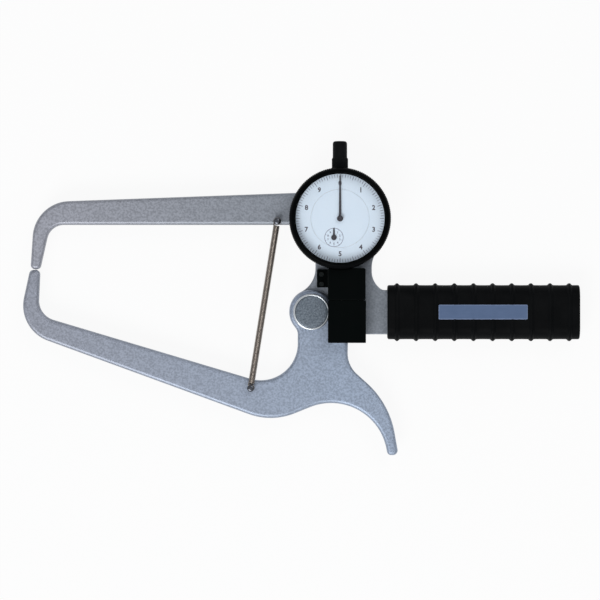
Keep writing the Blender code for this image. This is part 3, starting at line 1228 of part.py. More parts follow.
def stem_clamp(materials):
    """The block that grips the gauge's stem, with its foot and flange on the frame plate."""
    seat = LAP_THICKNESS + FIT_GAP
    over_arm = ARM_THICKNESS + RUN_GAP
    block = box_outline(CLAMP_LEFT_X, CLAMP_FOOT_Y, CLAMP_RIGHT_X, CLAMP_TOP_Y, CLAMP_ROUND)
    body = plate("stem_clamp", block, seat, CLAMP_FRONT_Z, materials.black_paint)
    under = box_outline(CLAMP_LEFT_X - OVERRUN, CLAMP_FOOT_Y - OVERRUN, CLAMP_RIGHT_X + OVERRUN, CLAMP_SEAT_Y)
    cut(body, plate("clamp_relief", under, seat - OVERRUN, over_arm, None))
    bezel_room = circle_outline(BEZEL_RADIUS + RUN_GAP, LARGE_STEPS, (SPINDLE_OFFSET, DIAL_CENTRE_Y))
    cut(body, plate("clamp_bezel_room", bezel_room, BEZEL_BACK_Z - RUN_GAP, CLAMP_FRONT_Z + OVERRUN, None))
    case_room = circle_outline(CASE_RADIUS + RUN_GAP, LARGE_STEPS, (SPINDLE_OFFSET, DIAL_CENTRE_Y))
    cut(body, plate("clamp_case_room", case_room, seat - OVERRUN, CLAMP_FRONT_Z + OVERRUN, None))
    flange = box_outline(FLANGE_LEFT_X, FLANGE_FOOT_Y, CLAMP_LEFT_X + CLAMP_ROUND, FLANGE_TOP_Y)
    join(body, plate("clamp_flange", flange, seat, seat + FLANGE_THICKNESS, None))
    tongue = box_outline(TONGUE_LEFT_X, TONGUE_FOOT_Y, COVER_RIGHT_X - COVER_WALL - FIT_GAP,
                         CLAMP_FOOT_Y + CLAMP_ROUND)
    tongue_back, tongue_front = SPINDLE_Z - TONGUE_BACK_REACH, SPINDLE_Z + TONGUE_FRONT_REACH
    join(body, plate("clamp_tongue", tongue, tongue_back, tongue_front, None))
    bore = rod_profile(STEM_RADIUS + FIT_GAP, CLAMP_FOOT_Y - OVERRUN, CLAMP_TOP_Y + OVERRUN)
    cut(body, turned("clamp_bore", bore, ROUND_STEPS, None, along_spindle(), ALONG_Y))
    for y in FLANGE_SCREWS_Y:
        screw_hole(body, (FLANGE_SCREW_X, y, seat + FLANGE_THICKNESS), length=FLANGE_SCREW_LENGTH)
    for z in COVER_SCREWS_Z:
        screw_hole(body, cover_screw_place(z), ALONG_X)
    return body


def clamp_screws(materials):
    seat = LAP_THICKNESS + FIT_GAP
    for k, y in enumerate(FLANGE_SCREWS_Y):
        slotted_screw(f"clamp_screw_{k + 1}", materials.black_paint,
                      (FLANGE_SCREW_X, y, seat + FLANGE_THICKNESS + FIT_GAP), length=FLANGE_SCREW_LENGTH)


def cover_screw_place(z):
    return (COVER_RIGHT_X + FIT_GAP, (TONGUE_FOOT_Y + CLAMP_FOOT_Y) / 2, z)


def spindle_cover(materials):
    """A box over the contact point and cam, open at the back and, below its lip, at the foot."""
    back = ARM_THICKNESS + RUN_GAP
    top_y = CLAMP_FOOT_Y - FIT_GAP
    cover = plate("spindle_cover", box_outline(CLAMP_LEFT_X, COVER_FOOT_Y, COVER_RIGHT_X, top_y),
                  back, CLAMP_FRONT_Z, materials.black_paint)
    hollow = box_outline(CLAMP_LEFT_X + COVER_WALL, COVER_FOOT_Y + COVER_WALL, COVER_RIGHT_X - COVER_WALL,
                         top_y + OVERRUN)
    cut(cover, plate("cover_hollow", hollow, back - OVERRUN, CLAMP_FRONT_Z - COVER_WALL, None))
    mouth = box_outline(CLAMP_LEFT_X + COVER_WALL, COVER_FOOT_Y - OVERRUN, COVER_RIGHT_X - COVER_WALL,
                        COVER_FOOT_Y + 2 * COVER_WALL)
    cut(cover, plate("cover_mouth", mouth, back - OVERRUN, CLAMP_FRONT_Z - COVER_LIP, None))
    cap_room = circle_outline(PIVOT_CAP_RADIUS + RUN_GAP, LARGE_STEPS)
    over_cap = ARM_THICKNESS + PIVOT_CAP_HEIGHT + 2 * RUN_GAP
    cut(cover, plate("cover_cap_room", cap_room, back - OVERRUN, over_cap, None))
    for z in COVER_SCREWS_Z:
        screw_hole(cover, cover_screw_place(z), ALONG_X)
    return cover


def cover_screws(materials):
    for k, z in enumerate(COVER_SCREWS_Z):
        slotted_screw(f"cover_screw_{k + 1}", materials.black_paint, cover_screw_place(z), ALONG_X)


# Handle


def rib_count():
    return int((HANDLE_LENGTH - 2 * RIB_FIRST) / RIB_PITCH) + 1


def handle_screws_x():
    """The screws sit in valleys between ribs: near each end and in the middle."""
    valleys = (0, rib_count() // 2 - 1, rib_count() - 2)
    return [HANDLE_START_X + RIB_FIRST + RIB_PITCH / 2 + RIB_PITCH * k for k in valleys]


def handle_stations():
    """(place along the handle, how far the section stands out) at each change of section."""
    stations = [(0, -HANDLE_END_CHAMFER), (HANDLE_END_CHAMFER, 0)]
    for k in range(rib_count()):
        centre = RIB_FIRST + k * RIB_PITCH
        stations += [(centre - RIB_FOOT_WIDTH / 2, 0), (centre - RIB_TOP_WIDTH / 2, RIB_HEIGHT),
                     (centre + RIB_TOP_WIDTH / 2, RIB_HEIGHT), (centre + RIB_FOOT_WIDTH / 2, 0)]
    return stations + [(HANDLE_LENGTH - HANDLE_END_CHAMFER, 0), (HANDLE_LENGTH, -HANDLE_END_CHAMFER)]


def handle_shell(name, side, material):
    """Half of the ribbed handle on one side of the split plane, hollowed for the tang."""
    bm = bmesh.new()
    rings = []
    for along, grow in handle_stations():
        half = HANDLE_HEIGHT / 2 + grow
        depth = HANDLE_DEPTH / 2 + grow
        section = rounded_outline([
            (-half, HANDLE_SPLIT_GAP / 2, 0), (half, HANDLE_SPLIT_GAP / 2, 0),
            (half, depth, HANDLE_ROUND), (-half, depth, HANDLE_ROUND),
        ])
        rings.append([
            bm.verts.new((HANDLE_START_X + along, TANG_CENTRE_Y + y, LAP_THICKNESS / 2 + side * z))
            for y, z in section
        ])
    for one, other in zip(rings, rings[1:]):
        for i in range(len(one)):
            bm.faces.new((one[i - 1], one[i], other[i], other[i - 1]))
    bm.faces.new(rings[0])
    bm.faces.new(rings[-1])
    shell = add_object(name, bm, material)
    ledge = HANDLE_START_X + TANG_LEDGE + RUN_GAP
    end = HANDLE_START_X + HANDLE_LENGTH - TANG_END_GAP + FIT_GAP
    wide = TANG_HALF_WIDTH + FIT_GAP
    narrow = TANG_INNER_HALF_WIDTH + RUN_GAP
    outline = [(HANDLE_START_X - OVERRUN, -wide), (ledge, -wide), (ledge, -narrow), (end, -narrow),
               (end, narrow), (ledge, narrow), (ledge, wide), (HANDLE_START_X - OVERRUN, wide)]
    recess = [(x, TANG_CENTRE_Y + y) for x, y in outline]
    cut(shell, plate(f"{name}_recess", recess, -FIT_GAP, LAP_THICKNESS + FIT_GAP, None))
    for x in handle_screws_x():
        screw_hole(shell, handle_screw_place(x), FACING_BACK, HANDLE_SCREW_HEAD_RADIUS,
                   HANDLE_SCREW_HEAD_HEIGHT + HANDLE_SCREW_SINK, HANDLE_SCREW_SHAFT_RADIUS,
                   handle_screw_length())
    return shell


def handle_screw_place(x):
    back = LAP_THICKNESS / 2 - HANDLE_DEPTH / 2
    return (x, TANG_CENTRE_Y, back + HANDLE_SCREW_SINK + HANDLE_SCREW_HEAD_HEIGHT)


def handle_screw_length():
    return LAP_THICKNESS + HANDLE_SCREW_GRIP - handle_screw_place(0)[2]


def handle_front_shell(materials):
    shell = handle_shell("handle_front_shell", 1, materials.black_plastic)
    floor = nameplate_front() - NAMEPLATE_THICKNESS - FIT_GAP
    pocket = box_outline(
        HANDLE_START_X + NAMEPLATE_INSET - FIT_GAP, -NAMEPLATE_HEIGHT / 2 - FIT_GAP,
        HANDLE_START_X + NAMEPLATE_INSET + NAMEPLATE_LENGTH + FIT_GAP, NAMEPLATE_HEIGHT / 2 + FIT_GAP,
        NAMEPLATE_ROUND,
    )
    cut(shell, plate("nameplate_pocket", pocket, floor, nameplate_front() + RIB_HEIGHT + OVERRUN, None))
    return shell


def handle_back_shell(materials):
    return handle_shell("handle_back_shell", -1, materials.black_plastic)


def handle_screws(materials):
    for k, x in enumerate(handle_screws_x()):
        slotted_screw(f"handle_screw_{k + 1}", materials.steel, handle_screw_place(x), FACING_BACK,
                      HANDLE_SCREW_HEAD_RADIUS, HANDLE_SCREW_HEAD_HEIGHT, HANDLE_SCREW_SHAFT_RADIUS,
                      handle_screw_length())


def nameplate_front():
    return LAP_THICKNESS / 2 + HANDLE_DEPTH / 2 + NAMEPLATE_PROUD


def nameplate(materials):
    left = HANDLE_START_X + NAMEPLATE_INSET
    half = NAMEPLATE_HEIGHT / 2
    outline = box_outline(left, -half, left + NAMEPLATE_LENGTH, half, NAMEPLATE_ROUND)
    return plate("nameplate", outline, nameplate_front() - NAMEPLATE_THICKNESS, nameplate_front(),
                 materials.plate)


# Moving groups


def moving_group(name, location, members):
    """An empty on the joint's axis that carries the pieces moving with it."""
    empty = bpy.data.objects.new(name, None)
    empty.location = location
    empty.empty_display_size = STEM_RADIUS
    bpy.context.scene.collection.objects.link(empty)
    bpy.context.view_layer.update()
    for member in members:
        cutters = [m.object for m in member.modifiers if m.type == "BOOLEAN"]
        for thing in (member, *cutters):
            thing.parent = empty
            thing.matrix_parent_inverse = empty.matrix_world.inverted()
    return empty


def main():
    clear_scene()
    materials = make_materials()
    frame_plate(materials)
    pivot_pin(materials)
    pivot_cap(materials)
    pivot_washer(materials)
    spring_pin("spring_pin_upper", materials, UPPER_PIN)
    jaw_tip("jaw_tip_fixed", materials, 1)
    dial_case(materials)
    case_back_cover(materials)
    case_screws(materials)
    gauge_stem(materials)
    upper_bush(materials)
    stem_cap(materials)
    movement_back_plate(materials)
    movement_front_plate(materials)
    inner_dial(materials)
    hairspring(materials)
    spindle_return_spring(materials)
    stem_clamp(materials)
    clamp_screws(materials)
    spindle_cover(materials)
    cover_screws(materials)
    handle_front_shell(materials)
    handle_back_shell(materials)
    handle_screws(materials)
    nameplate(materials)
    tension_spring(materials)
    spring_lower_hook(materials)
    cam_screws(materials)
    moving_group("arm_pivot", (0, 0, 0), [
        moving_arm(materials), actuating_cam(materials), jaw_tip("jaw_tip_moving", materials, -1),
        spring_pin("spring_pin_lower", materials, LOWER_PIN),
    ])
    moving_group("bezel_axis", gauge_location(), [
        bezel_ring(materials), crystal(materials), dial_scale_ring(materials),
    ])
    moving_group("spindle_axis", along_spindle(), [
        spindle(materials), contact_point(materials), guide_pin(materials),
    ])
    moving_group("counter_axis", at_offset(counter_offset()), [
        rack_pinion(materials), counter_gear(materials), counter_hand(materials),
    ])
    moving_group("pointer_axis", gauge_location(), [centre_pinion(materials), pointer(materials)])
    moving_group("takeup_axis", at_offset(takeup_offset()), [takeup_gear(materials)])


main()
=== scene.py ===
"""Looks of the dial caliper gauge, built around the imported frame."""

import math

import bmesh
import bpy
from mathutils import Matrix, Vector


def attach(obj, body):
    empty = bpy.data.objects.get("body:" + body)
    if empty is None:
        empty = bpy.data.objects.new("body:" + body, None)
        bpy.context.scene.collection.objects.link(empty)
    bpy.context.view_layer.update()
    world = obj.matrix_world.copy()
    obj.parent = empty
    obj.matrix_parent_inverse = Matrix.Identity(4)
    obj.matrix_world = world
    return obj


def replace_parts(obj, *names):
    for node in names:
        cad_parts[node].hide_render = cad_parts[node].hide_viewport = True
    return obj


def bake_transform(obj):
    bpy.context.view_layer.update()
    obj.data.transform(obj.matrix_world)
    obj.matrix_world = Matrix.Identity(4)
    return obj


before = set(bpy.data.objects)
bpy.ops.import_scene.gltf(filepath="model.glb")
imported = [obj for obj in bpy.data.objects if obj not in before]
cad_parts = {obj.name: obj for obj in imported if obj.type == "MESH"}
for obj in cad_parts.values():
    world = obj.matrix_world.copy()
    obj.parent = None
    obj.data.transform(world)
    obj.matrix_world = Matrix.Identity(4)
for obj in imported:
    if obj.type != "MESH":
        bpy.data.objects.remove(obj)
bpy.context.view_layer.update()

MM = 0.001

# Places shared with the frame, in millimetres
PIVOT = (0, 0)
SPINDLE_X = 15.6
SPINDLE_Z = 11.0
DIAL_Y = 51.2
DIAL_CENTRE = (SPINDLE_X, DIAL_Y)
COUNTER = (12.258, 40.781)
ARM_TOP = 6.0
LAP_TOP = 2.5
LAP_BACK = 3.5
UPPER_PIN = (-18.8, 49.8)
LOWER_PIN = (-33.4, -41.8)

# The photograph's frame, in millimetres
PHOTO_CENTRE = (-6.3, 6.6)
PHOTO_WIDTH = 330.0
PHOTO_LEVEL = 4.0
CAMERA_HEIGHT = 2400.0
SENSOR = 36.0


def linear(hex_colour):
    """Linear RGBA of an sRGB colour written as six hex digits."""
    parts = [int(hex_colour[i:i + 2], 16) / 255 for i in (0, 2, 4)]
    return (*(p / 12.92 if p <= 0.04045 else ((p + 0.055) / 1.055) ** 2.4 for p in parts), 1.0)


# Shader maths


class Value:
    """A shader socket that takes part in Python sums."""

    def __init__(self, finish, socket):
        self.finish = finish
        self.socket = socket

    def _math(self, operation, *values):
        settings = {"operation": operation}
        node = self.finish.node("ShaderNodeMath", settings, dict(enumerate(values)))
        return Value(self.finish, node.outputs[0])

    def __add__(self, other):
        return self._math("ADD", self, other)

    def __radd__(self, other):
        return self._math("ADD", other, self)

    def __sub__(self, other):
        return self._math("SUBTRACT", self, other)

    def __rsub__(self, other):
        return self._math("SUBTRACT", other, self)

    def __mul__(self, other):
        return self._math("MULTIPLY", self, other)

    def __rmul__(self, other):
        return self._math("MULTIPLY", other, self)

    def __pow__(self, other):
        return self._math("POWER", self, other)

    def sine(self):
        return self._math("SINE", self)

    def size(self):
        """The value without its sign."""
        return self._math("ABSOLUTE", self)

    def clipped(self):
        """The value kept between 0 and 1."""
        node = self.finish.node("ShaderNodeMath", {"operation": "ADD", "use_clamp": True},
                                {0: self, 1: 0.0})
        return Value(self.finish, node.outputs[0])

    def step(self, start, end):
        """0 below start, 1 above end, smooth between them."""
        node = self.finish.node("ShaderNodeMapRange", {"interpolation_type": "SMOOTHSTEP"},
                                {"Value": self, "From Min": start, "From Max": end})
        return Value(self.finish, node.outputs[0])


class Finish:
    """A material whose nodes are added one by one."""

    def __init__(self, name, **constants):
        self.material = bpy.data.materials.new(name)
        self.material.use_nodes = True
        self.tree = self.material.node_tree
        self.shader = self.tree.nodes["Principled BSDF"]
        for socket, value in constants.items():
            self.shader.inputs[socket.replace("_", " ")].default_value = value

    def node(self, kind, settings=None, inputs=None):
        node = self.tree.nodes.new(kind)
        for key, value in (settings or {}).items():
            setattr(node, key, value)
        for key, value in (inputs or {}).items():
            self.feed(node.inputs[key], value)
        return node

    def feed(self, socket, value):
        if isinstance(value, Value):
            self.tree.links.new(value.socket, socket)
        elif isinstance(value, bpy.types.NodeSocket):
            self.tree.links.new(value, socket)
        else:
            socket.default_value = value

    def place(self, scale=(1.0, 1.0, 1.0)):
        """The point on the piece, in metres, stretched by scale."""
        where = self.node("ShaderNodeTexCoord").outputs["Object"]
        node = self.node("ShaderNodeVectorMath", {"operation": "MULTIPLY"}, {0: where, 1: scale})
        return node.outputs[0]

    def axis(self, index):
        """One coordinate of the point on the piece, in metres."""
        split = self.node("ShaderNodeSeparateXYZ", None, {0: self.place()})
        return Value(self, split.outputs[index])

    def radius(self):
        """Distance from the pivot's axis, in metres."""
        across, up = self.axis(0), self.axis(1)
        return (across * across + up * up) ** 0.5

    def noise(self, size, detail=2.0, roughness=0.5, scale=(1.0, 1.0, 1.0)):
        """Cloudy noise whose patches are about size millimetres across."""
        node = self.node("ShaderNodeTexNoise", None, {
            "Vector": self.place(scale), "Scale": 1 / (size * MM),
            "Detail": detail, "Roughness": roughness,
        })
        return Value(self, node.outputs["Fac"])

    def mix(self, share, first, second):
        node = self.node("ShaderNodeMix", {"data_type": "RGBA"})
        for key, value in ((0, share), (6, first), (7, second)):
            self.feed(node.inputs[key], value)
        return node.outputs[2]

    def edge_wear(self):
        """1 on the roundings between a flat front and its sides, 0 on both of these."""
        facing = self.node("ShaderNodeNewGeometry").outputs["Normal"]
        split = self.node("ShaderNodeSeparateXYZ", None, {0: facing})
        level = Value(self, split.outputs[2]).size()
        return (level * (1 - level) * 4).step(0.3, 0.9)

    def bump(self, height, depth, strength=1.0):
        """Relief from a value; the depth is in millimetres."""
        node = self.node("ShaderNodeBump", None,
                         {"Height": height, "Distance": depth * MM, "Strength": strength})
        self.feed(self.shader.inputs["Normal"], node.outputs[0])

    def colour(self, value):
        self.feed(self.shader.inputs["Base Color"], value)

    def rough(self, value):
        self.feed(self.shader.inputs["Roughness"], value)


# Finishes, whose lengths are in millimetres

BODY_LENGTH = 170
# Radius where the pivot cap's painted rim highlight begins, and the blur of its edge
CAP_HIGHLIGHT_RADIUS, RIM_BLUR = 9.0, 0.1
PLATE_MIDDLE = 94.2
PLATE_BORDER = (24.1, 3.7)
BORDER_BLUR = 0.05


def blasted_metal(name, left, right, edge, spread=0.56):
    """Satin plated metal with the fine grain of bead blasting; its colour drifts left to right
    along the tool, a real blue cast on the moving arm and painted shade on the fixed arm.
    """
    finish = Finish(name, Metallic=0.75, Roughness=0.5)
    speck = finish.noise(1.05, 1.5, 0.6).step(0.3, 0.7)
    fine = finish.noise(0.4, 1.0, 0.5)
    cloud = finish.noise(4.0, 2.0, 0.5)
    grain = (speck * 0.55 + fine * 0.3 + cloud * 0.15 - 0.5) * spread + 1.0
    # Left-to-right colour drift: on the fixed arm the darker right end is painted shade near the
    # dial
    along = (finish.axis(0) * (1 / (BODY_LENGTH * MM)) + 0.9).clipped()
    tint_and_shade = finish.mix(along, linear(left), linear(right))
    face = finish.node("ShaderNodeVectorMath", {"operation": "SCALE"},
                       {0: tint_and_shade, "Scale": grain}).outputs[0]
    finish.colour(finish.mix(finish.edge_wear() * 0.15, face, linear(edge)))
    finish.rough(0.44 + speck * 0.12)
    finish.bump(speck * 0.5 + fine * 0.5, 0.03, 0.5)
    return finish.material


def bright_steel(name, dark, light, roughness=0.28):
    """Bare steel with a faint cloud in its shine."""
    finish = Finish(name, Metallic=1.0)
    cloud = finish.noise(0.8, 3.0)
    finish.colour(finish.mix(cloud, linear(dark), linear(light)))
    finish.rough(roughness + cloud * 0.12)
    finish.bump(finish.noise(0.12), 0.01, 0.3)
    return finish.material


def turned_steel(name):
    """The pivot cap's faced end: the lathe's fine rings inside a rim painted brighter as a
    highlight.
    """
    finish = Finish(name, Metallic=0.85)
    radius = finish.radius()
    rings = (radius * 11000.0 + finish.noise(1.5) * 3.0).sine() * 0.5 + 0.5
    cloud = finish.noise(0.9, 2.0)
    tone = rings * 0.35 + cloud * 0.65
    # Painted highlight: the rim mask gives the cap's rounded bead a light colour where lamps
    # would catch it
    rim = radius.step((CAP_HIGHLIGHT_RADIUS - RIM_BLUR) * MM, (CAP_HIGHLIGHT_RADIUS + RIM_BLUR) * MM)
    face = finish.mix(tone.step(0.25, 0.75), linear("444d56"), linear("86909a"))
    finish.colour(finish.mix(rim, face, linear("cfd4d8")))
    finish.rough(0.4 + cloud * 0.12 - rim * 0.16)
    finish.bump(rings, 0.012, 0.4)
    return finish.material


def black_enamel(name, face="020505", edge="181a1a", roughness=0.36):
    """Black stoved paint: nearly mirror smooth, thin and greyer on its edges."""
    finish = Finish(name, Specular_IOR_Level=0.02)
    cloud = finish.noise(6.0, 3.0)
    body = finish.mix(cloud, linear(face), linear("050707"))
    finish.colour(finish.mix(finish.edge_wear() * 0.2, body, linear(edge)))
    finish.rough(roughness + finish.noise(0.6, 3.0) * 0.14)
    finish.bump(finish.noise(0.5, 2.0), 0.012, 0.35)
    return finish.material


def moulded_plastic(name, face="060708", scuff="0b0c0d", grain=0.35):
    """Black plastic with a fine spark-eroded grain."""
    finish = Finish(name, Specular_IOR_Level=0.04)
    cloud = finish.noise(14.0, 3.0, 0.6)
    grains = finish.noise(grain, 3.0, 0.7)
    body = finish.mix(cloud.step(0.35, 0.75), linear(face), linear(scuff))
    finish.colour(finish.mix(finish.edge_wear() * 0.2, body, linear("1c1e20")))
    finish.rough(0.42 + grains * 0.2)
    finish.bump(grains, 0.03, 0.5)
    return finish.material


def anodised_plate(name):
    """Blue-grey anodised aluminium brushed along the handle."""
    finish = Finish(name, Metallic=0.35, Roughness=0.45)
    brushed = finish.noise(0.25, 3.0, 0.6, (0.04, 1.0, 1.0))
    cloud = finish.noise(5.0, 2.0)
    tone = brushed * 0.6 + cloud * 0.4
    face = finish.mix(tone, linear("445877"), linear("576a8b"))
    along, up = (finish.axis(0) - PLATE_MIDDLE * MM).size(), finish.axis(1).size()
    far, high = (reach.step((edge - BORDER_BLUR) * MM, (edge + BORDER_BLUR) * MM)
                 for reach, edge in zip((along, up), PLATE_BORDER))
    border = (far + high).clipped()
    finish.colour(finish.mix(border * 0.7, face, linear("8795b4")))
    finish.rough(0.38 + brushed * 0.2)
    finish.bump(brushed, 0.008, 0.4)
    return finish.material


def dial_enamel(name):
    """The dial's pale matt lacquer."""
    finish = Finish(name, Specular_IOR_Level=0.3)
    cloud = finish.noise(7.0, 2.0)
    finish.colour(finish.mix(cloud, linear("cfdeec"), linear("d6e3ef")))
    finish.rough(0.55 + finish.noise(0.5) * 0.15)
    finish.bump(finish.noise(0.2), 0.004, 0.3)
    return finish.material


def printed_ink(name, colour, worn):
    """Matt printing ink, worn a little unevenly."""
    finish = Finish(name, Specular_IOR_Level=0.3, Roughness=0.6)
    finish.colour(finish.mix(finish.noise(0.5), linear(colour), linear(worn)))
    finish.rough(0.5 + finish.noise(0.3) * 0.2)
    return finish.material


def painted_hand(name):
    """The flat black of the hands."""
    finish = Finish(name, Specular_IOR_Level=0.02)
    finish.colour(finish.mix(finish.noise(0.6), linear("140c17"), linear("1d1320")))
    finish.rough(0.55 + finish.noise(0.4) * 0.15)
    return finish.material


def clear_crystal(name):
    """Clear plastic that shows only its gloss."""
    finish = Finish(name, Roughness=0.04, Alpha=0.03, Specular_IOR_Level=0.15)
    finish.colour(finish.mix(finish.noise(20.0), linear("f2f6fa"), linear("e8eef4")))
    return finish.material


def warm_brass(name):
    """The movement's plates and wheels."""
    finish = Finish(name, Metallic=1.0)
    cloud = finish.noise(0.9, 3.0)
    finish.colour(finish.mix(cloud, linear("a98545"), linear("c6a362")))
    finish.rough(0.3 + cloud * 0.15)
    finish.bump(finish.noise(0.15), 0.006, 0.3)
    return finish.material


# The fixed arm's darker right-hand colour is painted shade, darkening towards the dial
FIXED_METAL = blasted_metal("fixed_arm_metal", "999ba4", "868c94", "c0c4cb")
MOVING_METAL = blasted_metal("moving_arm_metal", "9195a0", "95a1b3", "c6cdd8")
STEEL = bright_steel("bright_steel", "8c9094", "c4c8cc")
PIN_STEEL = bright_steel("pin_steel", "3e4046", "70737a", 0.2)
SPRING_STEEL = bright_steel("spring_steel", "7c736c", "b2a9a0", 0.26)
DARK_STEEL = bright_steel("dark_screw_steel", "17191a", "303433", 0.35)
CAP_STEEL = turned_steel("pivot_cap_steel")
ENAMEL = black_enamel("black_enamel")
BEZEL_BLACK = black_enamel("bezel_black", "020203", "18181a", 0.3)
PLASTIC = moulded_plastic("handle_plastic")
CAP_PLASTIC = moulded_plastic("cap_plastic", "0d0e0f", "151718", 0.25)
PLATE = anodised_plate("plate_blue")
DIAL = dial_enamel("dial_enamel")
INK = printed_ink("scale_ink", "2a202e", "3b313f")
SCALE_INK = printed_ink("fine_ink", "5b5a70", "6d6d82")
FAINT_INK = printed_ink("faint_ink", "6c6c80", "7e7f92")
HAND = painted_hand("hand_black")
CRYSTAL = clear_crystal("crystal_clear")
BRASS = warm_brass("movement_brass")


# Mesh helpers, in millimetres

SLIVER = 1e-4
WELD = 0.002
HOLE_SIDES = 12
FLAT_FACE_WEIGHT = 100
ARC_DEGREES = 7
ARC_STEPS = 4


def evaluated(thing):
    """The object with its modifiers applied."""
    return thing.evaluated_get(bpy.context.evaluated_depsgraph_get())


def made_object(name, bm):
    """An object of a bmesh, which is freed."""
    mesh = bpy.data.meshes.new(name)
    bm.to_mesh(mesh)
    bm.free()
    thing = bpy.data.objects.new(name, mesh)
    bpy.context.collection.objects.link(thing)
    return thing


def is_open(edge):
    return len(edge.link_faces) == 1


def add_piece(name, bm, material, body, sharp=32.0):
    """A closed, shaded piece of a bmesh in millimetres, riding on a body where one is named."""
    bmesh.ops.dissolve_degenerate(bm, dist=SLIVER, edges=bm.edges)
    flaps = [face for face in bm.faces if sum(is_open(edge) for edge in face.edges) > 1]
    bmesh.ops.delete(bm, geom=flaps, context="FACES")
    bmesh.ops.holes_fill(bm, edges=[edge for edge in bm.edges if is_open(edge)],
                         sides=HOLE_SIDES)
    bmesh.ops.scale(bm, vec=(MM, MM, MM), verts=bm.verts)
    bmesh.ops.recalc_face_normals(bm, faces=bm.faces)
    limit = math.radians(sharp)
    for face in bm.faces:
        face.smooth = True
    for edge in bm.edges:
        edge.smooth = len(edge.link_faces) == 2 and edge.calc_face_angle(0.0) < limit
    piece = made_object(name, bm)
    piece.data.materials.append(material)
    even = piece.modifiers.new("flat_faces_stay_flat", "WEIGHTED_NORMAL")
    even.keep_sharp = True
    even.weight = FLAT_FACE_WEIGHT
    piece.data = bpy.data.meshes.new_from_object(evaluated(piece))
    piece.modifiers.clear()
    if body:
        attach(piece, body)
    return piece


def rounded_outline(corners, step=0.6):
    """Points of a polygon whose corners, given as (x, y, radius), are rounded by arcs."""
    points = []
    for i, (x, y, radius) in enumerate(corners):
        corner = Vector((x, y))
        back = (Vector(corners[i - 1][:2]) - corner).normalized()
        ahead = (Vector(corners[(i + 1) % len(corners)][:2]) - corner).normalized()
        if radius == 0:
            points.append(corner)
            continue
        half = back.angle(ahead) / 2
        centre = corner + (back + ahead).normalized() * radius / math.sin(half)
        first = corner + back * radius / math.tan(half) - centre
        turn = first.angle_signed(corner + ahead * radius / math.tan(half) - centre)
        count = max(ARC_STEPS, round(abs(turn) * radius / step),
                    round(abs(turn) / math.radians(ARC_DEGREES)))
        for k in range(count + 1):
            points.append(centre + Matrix.Rotation(-turn * k / count, 2) @ first)
    return points


SHARPEST_CORNER = 0.3


def inset(points, distance):
    """The outline moved inwards; the points run anticlockwise or clockwise."""
    area = sum(a.x * b.y - b.x * a.y for a, b in zip(points, points[1:] + points[:1]))
    side = 1 if area > 0 else -1
    moved = []
    for i, here in enumerate(points):
        before = (here - points[i - 1]).normalized()
        after = (points[(i + 1) % len(points)] - here).normalized()
        across = Vector((-(before.y + after.y), before.x + after.x)).normalized() * side
        slope = max(SHARPEST_CORNER, across.dot(Vector((-after.y, after.x)) * side))
        moved.append(here + across * distance / slope)
    return moved


FLAT_FROM = 1.15


def slab(outline, back, front, back_fillet, front_fillet, steps=5):
    """A plate with rounded edges, whose faces are flat from 1.15 fillets inside the outline."""
    levels = [(back_fillet * FLAT_FROM, back)]
    turns = [math.pi / 2 * k / steps for k in range(steps + 1)]
    for turn in turns:
        height = back_fillet * (1 - math.cos(turn))
        levels.append((back_fillet * (1 - math.sin(turn)), back + height))
    for turn in turns:
        depth = front_fillet * (1 - math.sin(turn))
        levels.append((front_fillet * (1 - math.cos(turn)), front - depth))
    levels.append((front_fillet * FLAT_FROM, front))
    bm = bmesh.new()
    rings = [[bm.verts.new((*p, z)) for p in inset(outline, d)] for d, z in levels]
    bm.faces.new(reversed(rings[0]))
    bm.faces.new(rings[-1])
    for below, above in zip(rings, rings[1:]):
        join_rings(bm, below, above)
    return bm


def join_rings(bm, below, above):
    """Four-sided faces between two closed rings of points."""
    for i in range(len(below)):
        j = (i + 1) % len(below)
        bm.faces.new((below[i], below[j], above[j], above[i]))


def prism(outline, back, front):
    """A plate with square edges."""
    bm = bmesh.new()
    low = [bm.verts.new((*p, back)) for p in outline]
    high = [bm.verts.new((*p, front)) for p in outline]
    bm.faces.new(reversed(low))
    bm.faces.new(high)
    join_rings(bm, low, high)
    return bm


def outward_object(name, bm):
    """An object whose faces look outwards."""
    bmesh.ops.recalc_face_normals(bm, faces=bm.faces)
    return made_object(name, bm)


def carved(bm, tools, operation):
    """The bmesh after a boolean with each of the tools."""
    body = outward_object("body_to_carve", bm)
    for piece in tools:
        tool = outward_object("carver", piece)
        cut = body.modifiers.new("cut", "BOOLEAN")
        cut.operation = operation
        cut.solver = "EXACT"
        cut.object = tool
        mesh = bpy.data.meshes.new_from_object(evaluated(body))
        body.modifiers.clear()
        body.data = mesh
        bpy.data.objects.remove(tool, do_unlink=True)
    left = bmesh.new()
    left.from_mesh(body.data)
    bpy.data.objects.remove(body, do_unlink=True)
    bmesh.ops.remove_doubles(left, verts=left.verts, dist=WELD)
    return left


def cut_away(bm, cutters):
    return carved(bm, cutters, "DIFFERENCE")


def fused(bm, *others):
    return carved(bm, others, "UNION")


